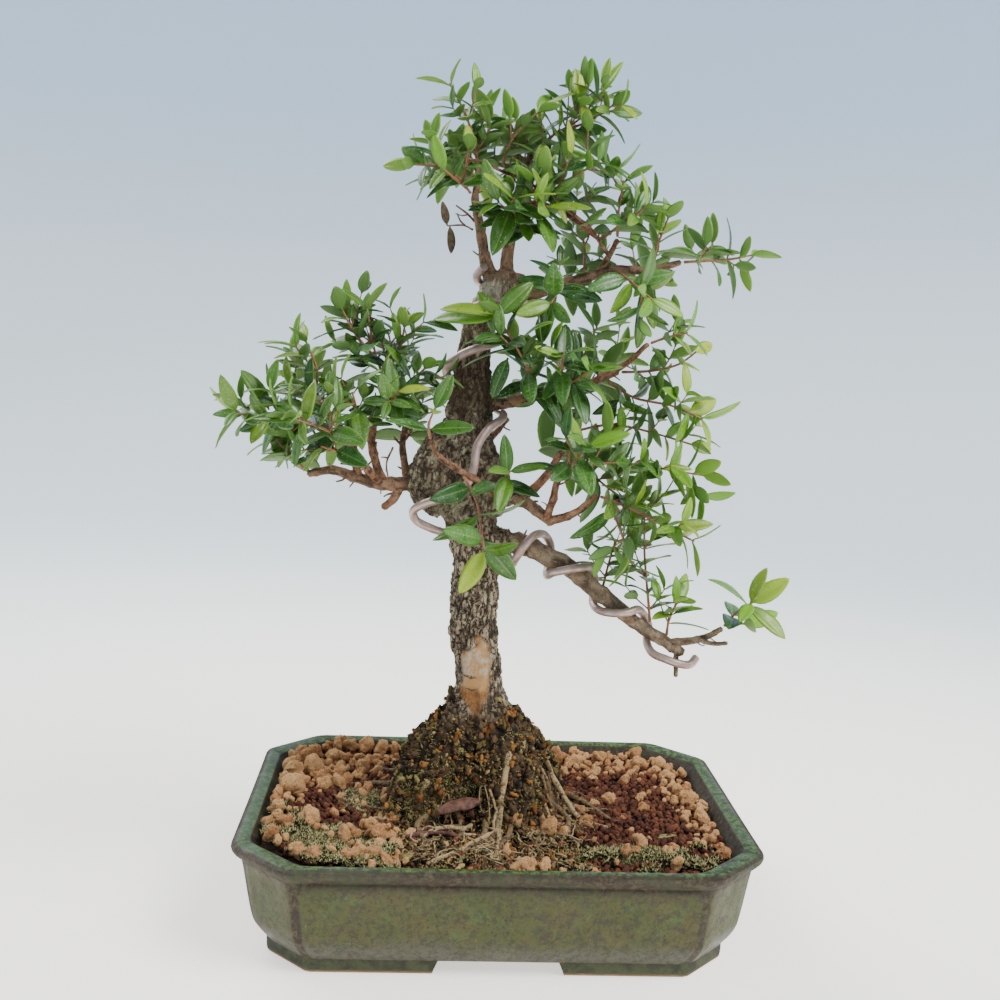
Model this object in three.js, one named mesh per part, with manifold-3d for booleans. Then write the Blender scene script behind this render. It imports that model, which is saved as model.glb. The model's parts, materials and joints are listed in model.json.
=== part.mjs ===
// Myrtle bonsai in an oblong glazed pot, about 32 cm tall.
// Millimetres, +Z up, origin on the table under the middle of the pot. -Y is the front.
import * as THREE from 'three';
import { mergeVertices } from 'three/addons/utils/BufferGeometryUtils.js';
import Module from 'manifold-3d';

const wasm = await Module();
wasm.setup();

// Driving sizes of the pot: half length, half width and corner cut of each level
const LIP = { x: 95, y: 71.8, cut: 20.5 };
const BODY = [
  { x: 82.2, y: 63.7, cut: 15.5, z: 3.7 },
  { x: 83, y: 64.5, cut: 16, z: 4.9 },
  { x: 86.6, y: 66.8, cut: 17.5, z: 9.5 },
  { x: 88.4, y: 67.8, cut: 18.5, z: 15 },
  { x: 91.5, y: 69, cut: 19.9, z: 33 },
];
const INSIDE_LOW = { x: 76, y: 57, cut: 14 };
const INSIDE_TOP = { x: 87.5, y: 64.3, cut: 19.4 };
const FOOT = { x: 82, y: 63.6, cut: 15.4 };
const CORNER_SOFT = 2.6;
const CUT_PER_INSET = 2 - Math.SQRT2;
const POT_TOP = 39;
const LIP_DEPTH = 5.6;
const RIM_WIDTH = 6.6;
// The rim is wider at the cut corners, so its inner edge has a cut of its own
const RIM_CUT = 19.9;
const FOOT_HEIGHT = 3.7;
// How far the feet reach below the level that all other heights are given from
const STAND = 1.4;
const FOOT_WIDTH = 9;
const FOOT_GAP = { x: 20.5, y: 17 };
const FLOOR_TOP = 9;
const DRAIN = { x: 38, radius: 8, sides: 16 };
const MESH_SIDE = 24;
const MESH_THICK = 1;
const GAP = 0.3;

// Driving sizes of the soil and its mound
const SOIL_EDGE = 34;
const SOIL_MARGIN = 0.8;
const MOUND = { x: -9, y: -2, rise: 11, spreadX: 38, spreadY: 30 };
// The soil lies higher towards the left end
const BANK = { rise: 2.6, from: 28, to: 76 };
const GRANULE = { count: 22, small: 2.8, large: 4.6 };

// Driving sizes of the wood, wire and leaves
const PLUG = { x: -9, y: -2, radius: 12, bottom: 22, top: 50, sides: 16 };
const WIRE_RADIUS = 1.6;
const WIRE_STANDOFF = 0.35;
const TWIG = { start: 0.8, end: 0.5, sides: 4, nodeHalf: 0.5 };
const LEAF = { length: 15.4, halfWidth: 0.205, rib: 0.35, fold: 0.13, droop: 0.2 };
const PAIR_SPACING = 11.4;
const FIRST_PAIR = 4.6;
const UPWARD = 0.65;

const vec = (p) => new THREE.Vector3(p[0], p[1], p[2]);
const clamp = (v, lo, hi) => Math.min(hi, Math.max(lo, v));

// A repeatable stream of draws between 0 and 1
function draws(seed) {
  let state = seed >>> 0;
  return () => {
    state = (state + 0x6d2b79f5) >>> 0;
    let t = Math.imul(state ^ (state >>> 15), 1 | state);
    t = (t + Math.imul(t ^ (t >>> 7), 61 | t)) ^ t;
    return ((t ^ (t >>> 14)) >>> 0) / 4294967296;
  };
}

// Between three.js meshes and solids
function solid(geometry) {
  const bare = geometry.clone();
  bare.deleteAttribute('normal');
  bare.deleteAttribute('uv');
  const merged = mergeVertices(bare, 1e-4);
  return new wasm.Manifold(new wasm.Mesh({
    numProp: 3,
    vertProperties: new Float32Array(merged.attributes.position.array),
    triVerts: new Uint32Array(merged.index.array),
  }));
}

function indexed(points, triangles) {
  const geometry = new THREE.BufferGeometry();
  const flat = points.flatMap((p) => [p.x, p.y, p.z]);
  geometry.setAttribute('position', new THREE.Float32BufferAttribute(flat, 3));
  geometry.setIndex(triangles.flat());
  return geometry;
}

function meshOf(name, shape, material) {
  const data = shape.getMesh();
  const geometry = new THREE.BufferGeometry();
  geometry.setAttribute('position', new THREE.Float32BufferAttribute(data.vertProperties, 3));
  geometry.setIndex(Array.from(data.triVerts));
  geometry.translate(0, 0, STAND);
  const mesh = new THREE.Mesh(geometry, material);
  mesh.name = name;
  return mesh;
}

const joined = (shapes) => shapes.reduce((sum, shape) => sum.add(shape));

function largest(shape) {
  const pieces = shape.decompose();
  return pieces.reduce((best, piece) => (piece.volume() > best.volume() ? piece : best));
}

// A closed stack of rings with the same number of points, capped by a middle point at each end
function stack(rings, bottom, top) {
  const sides = rings[0].length;
  const points = [...rings.flat(), bottom, top];
  const low = rings.length * sides;
  const high = low + 1;
  const triangles = [];
  for (let i = 0; i < sides; i += 1) {
    const j = (i + 1) % sides;
    triangles.push([low, j, i]);
    for (let k = 0; k + 1 < rings.length; k += 1) {
      const a = k * sides;
      const b = a + sides;
      triangles.push([a + i, a + j, b + j], [a + i, b + j, b + i]);
    }
    const last = (rings.length - 1) * sides;
    triangles.push([last + i, last + j, high]);
  }
  return indexed(points, triangles);
}

// Catmull-Rom line through hand-set points, each span cut into the same number of steps
function smooth(points, steps) {
  const line = [];
  const at = (i) => {
    if (i < 0) return points[0].clone().multiplyScalar(2).sub(points[1]);
    if (i < points.length) return points[i];
    return points[points.length - 1].clone().multiplyScalar(2).sub(points[points.length - 2]);
  };
  for (let i = 0; i + 1 < points.length; i += 1) {
    const [p0, p1, p2, p3] = [at(i - 1), at(i), at(i + 1), at(i + 2)];
    for (let k = 0; k < steps; k += 1) {
      const t = k / steps;
      const w0 = -0.5 * t + t * t - 0.5 * t * t * t;
      const w1 = 1 - 2.5 * t * t + 1.5 * t * t * t;
      const w2 = 0.5 * t + 2 * t * t - 1.5 * t * t * t;
      const w3 = -0.5 * t * t + 0.5 * t * t * t;
      const p = new THREE.Vector3();
      p.addScaledVector(p0, w0).addScaledVector(p1, w1).addScaledVector(p2, w2).addScaledVector(p3, w3);
      line.push(p);
    }
  }
  line.push(points[points.length - 1].clone());
  return line;
}

function lineLength(line) {
  let sum = 0;
  for (let i = 0; i + 1 < line.length; i += 1) sum += line[i].distanceTo(line[i + 1]);
  return sum;
}

// Point and direction at a distance along a line
function along(line, distance) {
  let left = Math.max(0, distance);
  for (let i = 0; i + 1 < line.length; i += 1) {
    const span = line[i].distanceTo(line[i + 1]);
    if (left <= span || i + 2 === line.length) {
      const t = span > 0 ? left / span : 0;
      const tangent = line[i + 1].clone().sub(line[i]).normalize();
      return { point: line[i].clone().lerp(line[i + 1], t), tangent };
    }
    left -= span;
  }
  return null;
}

// A branch: round rings along a line that tapers to a blunt tip
function branch(line, startRadius, endRadius, sides) {
  const rings = [];
  const total = lineLength(line);
  let side = new THREE.Vector3(0, 0, 1);
  let run = 0;
  line.forEach((p, i) => {
    const before = line[Math.max(0, i - 1)];
    const after = line[Math.min(line.length - 1, i + 1)];
    const tangent = after.clone().sub(before).normalize();
    if (i === 0 && Math.abs(tangent.z) > 0.9) side = new THREE.Vector3(1, 0, 0);
    side = side.clone().addScaledVector(tangent, -side.dot(tangent)).normalize();
    const up = tangent.clone().cross(side);
    if (i > 0) run += p.distanceTo(line[i - 1]);
    const radius = startRadius + (endRadius - startRadius) * (run / total);
    rings.push(Array.from({ length: sides }, (_, k) => {
      const a = (2 * Math.PI * k) / sides;
      const outward = side.clone().multiplyScalar(Math.cos(a)).addScaledVector(up, Math.sin(a));
      return p.clone().addScaledVector(outward, radius);
    }));
  });
  const last = line[line.length - 1];
  const beyond = last.clone().sub(line[line.length - 2]).normalize().multiplyScalar(endRadius);
  return stack(rings, line[0].clone(), last.clone().add(beyond));
}

// The pot
function octagon(x, y, cut, z) {
  const corners = [];
  const raw = [
    [x - cut, -y], [x, -y + cut], [x, y - cut], [x - cut, y],
    [-x + cut, y], [-x, y - cut], [-x, -y + cut], [-x + cut, -y],
  ];
  raw.forEach(([cx, cy], i) => {
    const here = new THREE.Vector3(cx, cy, z);
    const back = vec([...raw[(i + 7) % 8], z]).sub(here).normalize();
    const forth = vec([...raw[(i + 1) % 8], z]).sub(here).normalize();
    corners.push(here.clone().addScaledVector(back, CORNER_SOFT));
    corners.push(here.clone().addScaledVector(forth, CORNER_SOFT));
  });
  return corners;
}

const inset = (level, by, z) => octagon(level.x - by, level.y - by, level.cut - by * CUT_PER_INSET, z);

// Half sizes of the pot's inside wall at a height
function innerLevel(z) {
  const t = (z - FLOOR_TOP) / (POT_TOP - 2 - FLOOR_TOP);
  const between = (key) => INSIDE_LOW[key] + (INSIDE_TOP[key] - INSIDE_LOW[key]) * t;
  return { x: between('x'), y: between('y'), cut: between('cut') };
}

function makePot() {
  const lipLow = POT_TOP - LIP_DEPTH;
  const outside = [
    ...BODY.map(({ x, y, cut, z }) => octagon(x, y, cut, z)),
    inset(LIP, 1.6, lipLow),
    inset(LIP, 0.2, lipLow + 1.2),
    inset(LIP, 0, POT_TOP - 1.8),
    inset(LIP, 0.9, POT_TOP - 0.4),
    inset(LIP, 2.6, POT_TOP),
    octagon(LIP.x - RIM_WIDTH, LIP.y - RIM_WIDTH, RIM_CUT, POT_TOP - 0.4),
  ];
  const inner = [POT_TOP - 3, FLOOR_TOP + 3].map((z) => inset(innerLevel(z), 0, z));
  const floor = innerLevel(FLOOR_TOP);
  const rings = [...outside, ...inner, inset(floor, 2, FLOOR_TOP)];
  const under = new THREE.Vector3(0, 0, FOOT_HEIGHT);
  const body = solid(stack(rings, under, new THREE.Vector3(0, 0, FLOOR_TOP)));
  const footOuter = stack(
    [inset(FOOT, 0.8, -STAND), inset(FOOT, 0, 1 - STAND), inset(FOOT, 0, FOOT_HEIGHT + 1)],
    new THREE.Vector3(0, 0, -STAND),
    new THREE.Vector3(0, 0, FOOT_HEIGHT + 1),
  );
  const footInner = stack(
    [inset(FOOT, FOOT_WIDTH, -1 - STAND), inset(FOOT, FOOT_WIDTH, FOOT_HEIGHT + 2)],
    new THREE.Vector3(0, 0, -1 - STAND),
    new THREE.Vector3(0, 0, FOOT_HEIGHT + 2),
  );
  const gapX = new THREE.BoxGeometry(2 * FOOT_GAP.x, 200, 2 * FOOT_HEIGHT);
  const gapY = new THREE.BoxGeometry(250, 2 * FOOT_GAP.y, 2 * FOOT_HEIGHT);
  const feet = solid(footOuter).subtract(solid(footInner)).subtract(solid(gapX)).subtract(solid(gapY));
  const drains = [-1, 1].map((end) => {
    const hole = new THREE.CylinderGeometry(DRAIN.radius, DRAIN.radius, 20, DRAIN.sides);
    hole.rotateX(Math.PI / 2);
    hole.translate(end * DRAIN.x, 0, FOOT_HEIGHT);
    return solid(hole);
  });
  return body.add(feet).subtract(joined(drains));
}

// The soil
function soilHeight(x, y) {
  const u = (x - MOUND.x) / MOUND.spreadX;
  const v = (y - MOUND.y) / MOUND.spreadY;
  const uneven = 0.7 * Math.sin(x / 13 + 1) * Math.cos(y / 11);
  const t = Math.min(1, Math.max(0, (-x - BANK.from) / (BANK.to - BANK.from)));
  const bank = BANK.rise * t * t * (3 - 2 * t);
  return SOIL_EDGE + MOUND.rise * Math.exp(-(u * u + v * v)) + uneven + bank;
}

function soilOutline(z, by) {
  const level = innerLevel(z);
  const [x, y, cut] = [level.x - by, level.y - by, level.cut - by * CUT_PER_INSET];
  const sides = [
    [[x - cut, -y], [x, -y + cut], 2],
    [[x, -y + cut], [x, y - cut], 3],
    [[x, y - cut], [x - cut, y], 2],
    [[x - cut, y], [-x + cut, y], 5],
    [[-x + cut, y], [-x, y - cut], 2],
    [[-x, y - cut], [-x, -y + cut], 3],
    [[-x, -y + cut], [-x + cut, -y], 2],
    [[-x + cut, -y], [x - cut, -y], 5],
  ];
  return sides.flatMap(([a, b, parts]) => Array.from({ length: parts }, (_, k) => {
    const t = k / parts;
    return [a[0] + (b[0] - a[0]) * t, a[1] + (b[1] - a[1]) * t];
  }));
}

function soilBulk(bottom) {
  const around = soilOutline(FLOOR_TOP + 3, SOIL_MARGIN);
  const low = around.map(([x, y]) => new THREE.Vector3(x * 0.96, y * 0.96, bottom));
  const side = around.map(([x, y]) => new THREE.Vector3(x, y, FLOOR_TOP + 3.5));
  const edge = soilOutline(SOIL_EDGE - 1, SOIL_MARGIN);
  const tops = [1, 0.8, 0.58, 0.36, 0.16].map((f) => edge.map(([x, y]) => {
    const px = x * f + MOUND.x * (1 - f);
    const py = y * f + MOUND.y * (1 - f);
    return new THREE.Vector3(px, py, soilHeight(px, py));
  }));
  const middle = new THREE.Vector3(MOUND.x, MOUND.y, soilHeight(MOUND.x, MOUND.y));
  return stack([low, side, ...tops], new THREE.Vector3(MOUND.x, MOUND.y, bottom), middle);
}

const mossPatches = [
  { name: 'moss_front_left', x: -62, y: -38, rx: 17, ry: 13, thick: 2.2, seed: 3 },
  { name: 'moss_front_right', x: 50, y: -44, rx: 20, ry: 8, thick: 2, seed: 8 },
  { name: 'moss_root_side', x: -52, y: -4, rx: 9, ry: 13, thick: 1.8, seed: 5 },
];

function onMoss(x, y, margin) {
  return mossPatches.some((m) => Math.hypot((x - m.x) / (m.rx + margin), (y - m.y) / (m.ry + margin)) < 1);
}

function onRoots(x, y) {
  const flare = Math.hypot((x + 9) / 50, (y + 4) / 42) < 1;
  const front = x > -34 && x < 30 && y < -20 && y > -57;
  return flare || front;
}

function makeGranules() {
  const next = draws(41);
  const edge = innerLevel(SOIL_EDGE);
  const placed = [];
  const shapes = [];
  for (let tries = 0; tries < 4000 && placed.length < GRANULE.count; tries += 1) {
    const x = (next() * 2 - 1) * (edge.x - 6);
    const y = (next() * 2 - 1) * (edge.y - 6);
    const r = GRANULE.small + (GRANULE.large - GRANULE.small) * next();
    const turn = next() * Math.PI;
    const squash = 0.7 + 0.25 * next();
    const inCorner = Math.abs(x) + Math.abs(y) > edge.x + edge.y - edge.cut - 8;
    const crowded = placed.some((p) => Math.hypot(p.x - x, p.y - y) < p.r + r + 1.5);
    if (inCorner || crowded || onMoss(x, y, r + 1) || onRoots(x, y)) continue;
    placed.push({ x, y, r });
    const shape = new THREE.IcosahedronGeometry(r, 0);
    shape.scale(1, 0.85, squash);
    shape.rotateZ(turn);
    shape.rotateX(turn * 0.7);
    shape.translate(x, y, soilHeight(x, y) + r * 0.25);
    shapes.push(solid(shape));
  }
  return joined(shapes);
}

function meshPlate(end, grow) {
  const side = MESH_SIDE + 2 * grow;
  const plate = new THREE.BoxGeometry(side, side, MESH_THICK + 2 * grow);
  plate.translate(end * DRAIN.x, 0, FLOOR_TOP + GAP + MESH_THICK / 2);
  return solid(plate);
}

// A round upright block under the trunk, for the root plug and for its hole
function uprightRound(radius, bottom, top) {
  const block = new THREE.CylinderGeometry(radius, radius, top - bottom, PLUG.sides);
  block.rotateX(Math.PI / 2);
  block.translate(PLUG.x, PLUG.y, (top + bottom) / 2);
  return solid(block);
}

function makeSoil() {
  const hole = uprightRound(PLUG.radius + GAP, PLUG.bottom - GAP, PLUG.top + 10);
  const bulk = solid(soilBulk(FLOOR_TOP + GAP)).add(makeGranules()).subtract(hole);
  return largest(bulk.subtract(meshPlate(-1, GAP)).subtract(meshPlate(1, GAP)));
}

function raisedSoil(by) {
  return solid(soilBulk(FLOOR_TOP - 20)).translate([0, 0, by]);
}

function makeMoss(patch) {
  const next = draws(patch.seed);
  const sides = 12;
  const reach = Array.from({ length: sides }, () => 0.78 + 0.28 * next());
  const level = [[1, -2.5], [1, 0.5], [0.82, 0.85], [0.45, 1]].map(([f, lift]) => reach.map((r, k) => {
    const a = (2 * Math.PI * k) / sides;
    const x = patch.x + patch.rx * r * f * Math.cos(a);
    const y = patch.y + patch.ry * r * f * Math.sin(a);
    return new THREE.Vector3(x, y, soilHeight(x, y) + GAP + patch.thick * lift);
  }));
  const z = soilHeight(patch.x, patch.y) + GAP;
  const blob = stack(
    level,
    new THREE.Vector3(patch.x, patch.y, z - patch.thick * 2.5),
    new THREE.Vector3(patch.x, patch.y, z + patch.thick),
  );
  return largest(solid(blob).subtract(raisedSoil(GAP)));
}

// The trunk, level by level: height, middle, half widths and how strongly the roots flute it
const trunkLevels = [
  [30, -9, -4, 37, 31, 0.2], [38, -9, -4, 34, 28, 0.2], [46, -8.5, -3, 32, 26, 0.17],
  [54, -8, -2, 29.5, 23.5, 0.15], [62, -8, -1, 25, 20, 0.14], [69, -7.2, -0.5, 19.4, 16.6, 0.12],
  [75, -7.6, 0, 13.8, 12.8, 0.1], [83, -7.6, 0, 9.6, 9.7, 0.07], [94, -9, 0, 9.1, 9, 0.05],
  [106, -11, 0, 9.4, 9, 0.04], [120, -11, 0, 9, 8.8, 0.04], [134, -11.5, 0, 8.7, 8.6, 0.05],
  [148, -14, 0, 9.8, 9.4, 0.05], [162, -16, 0, 12, 11, 0.05], [176, -17.5, 0, 11.5, 10.5, 0.05],
  [188, -16.3, 0, 9, 8.8, 0.05], [200, -15.8, 0, 7.9, 7.7, 0.05], [212, -15.2, 0, 6.7, 6.6, 0.05],
  [222, -13.5, 0, 5.9, 6, 0.05], [230, -9.5, 0, 7, 6.9, 0.06], [237, -5.8, 0, 8.3, 7.6, 0.08],
  [242, -5, 0, 7.2, 6.6, 0.1],
];
const TRUNK_TOP = [-5, 0, 243];
const burlLobes = [
  { at: [-25.5, -1, 166], size: [12, 12, 16.5] },
  { at: [-9.5, -1.5, 163], size: [10.5, 12, 14.5] },
  { at: [-17, 3, 172], size: [13, 11, 13] },
];

function trunkRadius(angle, fluting, z) {
  const ridges = 0.6 * Math.sin(5 * angle + 0.8) + 0.4 * Math.sin(3 * angle + 2 + z / 40);
  return 1 + fluting * ridges;
}

function makeCore() {
  const sides = 12;
  const rings = trunkLevels.map(([z, x, y, rx, ry, fluting]) => Array.from({ length: sides }, (_, k) => {
    const a = (2 * Math.PI * k) / sides;
    const r = trunkRadius(a, fluting, z);
    return new THREE.Vector3(x + rx * r * Math.cos(a), y + ry * r * Math.sin(a), z);
  }));
  const [z0, x0, y0] = trunkLevels[0];
  return solid(stack(rings, new THREE.Vector3(x0, y0, z0), vec(TRUNK_TOP)));
}

function makeBurl() {
  return joined(burlLobes.map(({ at, size }, i) => {
    const lobe = new THREE.IcosahedronGeometry(1, 1);
    const place = lobe.attributes.position;
    for (let k = 0; k < place.count; k += 1) {
      const p = new THREE.Vector3().fromBufferAttribute(place, k);
      const bump = 1 + 0.07 * Math.sin(4 * p.x + 3 * p.z + i) * Math.cos(3 * p.y + i);
      p.multiply(vec(size)).multiplyScalar(bump).add(vec(at));
      place.setXYZ(k, p.x, p.y, p.z);
    }
    return solid(lobe);
  }));
}

// Woody branches: hand-set points, then the radius at the start and at the tip
const limbs = {
  left: [[
    [-24, 0, 164.5], [-34, -1, 162.5], [-46, -5, 161.7], [-56, -10, 164.2], [-65, -14, 167.4],
    [-74, -16, 166],
  ], 3.6, 1.4],
  left_snag: [[[-41, -3, 162], [-43, -4, 157], [-47, -5, 153]], 2.2, 1.3],
  left_up: [[[-47, -5, 162], [-52, -8, 178], [-50, -6, 190], [-47, -4, 198]], 1.9, 1.2],
  left_up_out: [[[-56, -10, 164.5], [-61, -14, 179], [-67, -16, 188]], 1.7, 1.1],
  left_back_in: [[[-38, -2, 162], [-41, 12, 175], [-39, 24, 188]], 1.8, 1.1],
  left_back_out: [[[-50, -7, 163], [-60, 11, 174], [-69, 25, 185]], 1.8, 1.1],
  left_front: [[[-48, -6, 162], [-56, -22, 173], [-62, -31, 181]], 1.6, 1.1],
  apex_left: [[
    [-8, 0, 236], [-12, -2, 245], [-15, -3, 258], [-17, -2, 268], [-16.5, 0, 279],
  ], 2.6, 1.2],
  apex_right: [[[-4, 2, 236], [-4, 1, 249], [-2, 0, 263], [-1, 1, 274], [3, 2, 285]], 2.5, 1.2],
  apex_cross: [[[-2, 0.5, 268], [4, 3, 268], [15, 4, 266], [31, 4, 256]], 1.3, 0.9],
  upper_right: [[
    [-8, 2, 230], [3, 3, 233], [14, 2, 238], [25, 2, 241.5], [37, 2, 245], [50, 2, 245.5],
    [61, 2, 249],
  ], 3, 1.2],
  upper_right_up: [[[30, 2, 243], [34, 2, 250], [36.5, 0, 256]], 1.4, 1],
  middle_right: [[
    [-12, 1, 192], [-1, 3, 194], [8, 5, 196.5], [20, 6, 197], [30, 5, 202], [40, 3, 207],
  ], 2.6, 1.2],
  middle_right_up: [[[29, 5, 201.5], [42, 1, 210], [50, -2, 218]], 1.5, 1],
  lower_right: [[[-6, -5, 158], [4, -9, 158.5], [10, -12, 155], [16, -14, 151]], 3, 2],
  lower_right_up: [[[14, -13.5, 152], [16, -14, 159], [17.5, -14, 167], [24, -12, 172]], 1.8, 1.1],
  lower_right_out: [[[15, -14, 151.5], [24, -16, 155], [32, -16, 162]], 1.9, 1.1],
  lower_right_back: [[[4, -9, 158.5], [13, -4, 166], [19, 0, 175], [25, 2, 184]], 2, 1.1],
  wired: [[
    [-9, 0, 141.4], [-1, -1, 140.8], [9, -3, 139], [23, -5, 132.6], [37, -6, 122.5],
    [52, -7, 111.4], [62, -7, 104.9], [69, -7.5, 101],
  ], 5, 2.1],
  wired_tip: [[[63, -7, 104.5], [71, -7, 105.5], [78, -8, 107.5], [84, -8, 111]], 1.9, 1.2],
  wired_fork: [[[75, -7.8, 107], [81, -9.5, 105.5], [86, -10, 106]], 1.2, 0.8],
  front_twig: [[
    [-4, -7, 158], [-9, -17, 164], [-19, -23, 170], [-27, -26, 175], [-30, -28, 181],
  ], 1.6, 0.9],
  burl_back: [[[-16, 6, 168], [-15, 17, 171], [-16, 24, 176]], 1.8, 1.1],
  burl_back_right: [[[-10, 4, 178], [-5, 14, 181], [0, 23, 186]], 1.7, 1.1],
  trunk_back: [[[-15, 3, 204], [-15, 12, 208], [-17, 20, 213]], 1.6, 1],
  wired_stub: [[[67, -7.4, 101.8], [67.3, -7.4, 97], [67.6, -7.5, 91.8]], 1.2, 0.9],
};

// Roots that run over the soil in front of the trunk: points on the ground, then radii
const surfaceRoots = [
  [[[-22, -22], [-30, -32], [-27, -43], [-36, -50]], 3.4, 1.2],
  [[[-4, -24], [-6, -37], [-12, -46], [-15, -55]], 2.8, 1],
  [[[6, -22], [4, -34], [0, -44], [4, -53]], 2.6, 0.9],
  [[[14, -18], [17, -30], [13, -40], [20, -48]], 2.6, 0.9],
  [[[20, -10], [27, -21], [26, -31], [31, -37]], 2.8, 0.9],
  [[[24, 2], [36, -3], [43, -12], [50, -14]], 3, 0.9],
  [[[-40, 4], [-50, 10], [-60, 12]], 3.2, 1.1],
  [[[-30, 20], [-40, 28], [-48, 38]], 3, 1],
];

function makeRoots() {
  return joined(surfaceRoots.map(([points, start, end]) => {
    const line = points.map(([x, y], i) => {
      const reach = i / (points.length - 1);
      return new THREE.Vector3(x, y, soilHeight(x, y) + 2.2 * (1 - reach) + 0.35 * end);
    });
    return solid(branch(line, start, end, 5));
  }));
}

// What leaves keep clear of: round wood as capsules, and points on the blades already placed
const capsules = [];
const bladePoints = [];
const CLEAR = { wood: 1.5, other: 2.9, own: 1.8, seat: 0.36 };
const STATIONS = [0.3, 0.5, 0.7, 1];
const TURNS = [
  [0, 0, 1], [18, 0, 1], [-18, 0, 1], [0, 14, 1], [0, -14, 1], [34, 0, 0.95], [-34, 0, 0.95],
  [0, 28, 0.9], [34, 16, 0.85], [-34, 16, 0.85],
];

function addCapsules(line, start, end, owner) {
  const total = lineLength(line);
  let run = 0;
  for (let i = 0; i + 1 < line.length; i += 1) {
    const span = line[i].distanceTo(line[i + 1]);
    const ra = start + (end - start) * (run / total);
    const rb = start + (end - start) * ((run + span) / total);
    capsules.push({ a: line[i], b: line[i + 1], ra, rb, owner });
    run += span;
  }
}

// Nearest point of a capsule's axis, with the radius there
function nearest(capsule, p) {
  const ab = capsule.b.clone().sub(capsule.a);
  const t = clamp(p.clone().sub(capsule.a).dot(ab) / ab.lengthSq(), 0, 1);
  const radius = capsule.ra + (capsule.rb - capsule.ra) * t;
  return { point: capsule.a.clone().addScaledVector(ab, t), radius };
}

// The training wire: up the front of the trunk from the low right branch, listed from its top end
const wireRoute = [
  [-13, -7, 243.5], [-14.6, -1.5, 240], [-12, 7, 237.5], [-4, 10.2, 235.5], [4.6, 6.5, 233.5],
  [4.8, -3.5, 230.8], [-2, -9.4, 231], [-9.5, -9, 230.6], [-17, -5.5, 228.3], [-20, 1, 225],
  [-16.5, 8.6, 222], [-9, 8.4, 219.3], [-5.8, 2.5, 217.2], [-7.5, -5.5, 216], [-13.5, -9, 214.2],
  [-20.5, -7.6, 210.8], [-25, -2.4, 206.5], [-23.8, 5.4, 202], [-17.5, 10.4, 197.5],
  [-9.5, 9.2, 193], [-3.6, 4.4, 190.4], [-3.8, -4.6, 188], [-9, -10.6, 184.5], [-13, -13.6, 178],
  [-14, -15.4, 169.5], [-16.5, -15.6, 164], [-23.5, -16.2, 159.5], [-31.5, -14.6, 156.3],
  [-35.5, -11.4, 153], [-34.5, -9.4, 149.3], [-29, -8.6, 146.4], [-23.4, -3.8, 144.4],
  [-20.8, 4.8, 143], [-14, 11.2, 141.6], [-5.4, 10.6, 139.6], [0.4, 5.6, 135.8],
  [2.8, -1.5, 132.8], [3.6, -7.4, 135.6], [6.4, -9.6, 141], [10.4, -7, 144.8],
  [14.6, -1.8, 144.2], [17.6, 2, 139.2], [17.2, 0.4, 133], [16.4, -4.6, 129.8],
  [18, -9.6, 131.2], [23, -11.2, 132.8], [28.2, -9.6, 133.4], [31.8, -5.6, 132.6],
  [34.6, -0.8, 128.9], [35.4, 0.2, 123.7], [34.4, -3.2, 118.9], [36.2, -8.6, 117.1],
  [41, -11.8, 116.8], [46.6, -11.8, 117.2], [50.6, -8.6, 117.6], [54, -3.8, 115],
  [56.8, -1.8, 110], [56.2, -3.6, 104], [57.8, -8, 100.8], [62.4, -11.2, 99.4],
  [67.6, -12.4, 98], [72, -11, 97.6], [74.6, -8.6, 99.6],
];

// Lists the round wood that wire and leaves have to stay clear of
function listWood() {
  Object.values(limbs).forEach(([points, start, end]) => {
    addCapsules(points.map(vec), start, end, 'trunk');
  });
  for (let i = 0; i + 1 < trunkLevels.length; i += 1) {
    const [a, b] = [trunkLevels[i], trunkLevels[i + 1]];
    const line = [new THREE.Vector3(a[1], a[2], a[0]), new THREE.Vector3(b[1], b[2], b[0])];
    addCapsules(line, Math.max(a[3], a[4]), Math.max(b[3], b[4]), 'core');
  }
  for (const { at, size } of burlLobes) {
    const heart = new THREE.Vector3(0, 0, size[2] - size[1]);
    addCapsules([vec(at).sub(heart), vec(at).add(heart)], size[1], size[1], 'core');
  }
}

// Each hand-set point of the wire moves out of the bark until the wire lies on it
function settledWire() {
  return wireRoute.map(vec).map((p) => {
    const place = p.clone();
    for (let pass = 0; pass < 3; pass += 1) {
      for (const c of capsules.filter((wood) => wood.ra > 1.9)) {
        const near = nearest(c, place);
        const away = place.clone().sub(near.point);
        const lack = near.radius + WIRE_RADIUS + WIRE_STANDOFF - away.length();
        if (lack > 0) place.addScaledVector(away.normalize(), lack);
      }
    }
    return place;
  });
}

listWood();
const wireLine = settledWire();

function wireTube(radius) {
  const outline = new THREE.Shape();
  const sides = 8;
  for (let k = 0; k < sides; k += 1) {
    const a = (2 * Math.PI * k) / sides;
    if (k === 0) outline.moveTo(radius, 0);
    else outline.lineTo(radius * Math.cos(a), radius * Math.sin(a));
  }
  const path = new THREE.CatmullRomCurve3(wireLine);
  return solid(new THREE.ExtrudeGeometry(outline, { steps: 60, bevelEnabled: false, extrudePath: path }));
}

function makeTrunk() {
  const wood = [makeCore(), makeBurl(), makeRoots()];
  for (const [points, start, end] of Object.values(limbs)) {
    wood.push(solid(branch(points.map(vec), start, end, start > 2.4 ? 7 : start > 1.75 ? 5 : 4)));
  }
  const ends = [wireLine[0], wireLine[wireLine.length - 1]].map((p) => {
    const ball = new THREE.IcosahedronGeometry(WIRE_RADIUS + 0.9, 0);
    ball.translate(p.x, p.y, p.z);
    return solid(ball);
  });
  const plug = uprightRound(PLUG.radius, PLUG.bottom, PLUG.top);
  const standing = joined(wood).subtract(raisedSoil(GAP));
  const clear = standing.subtract(wireTube(WIRE_RADIUS + 0.4)).subtract(joined(ends));
  return largest(clear.add(plug));
}

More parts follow.
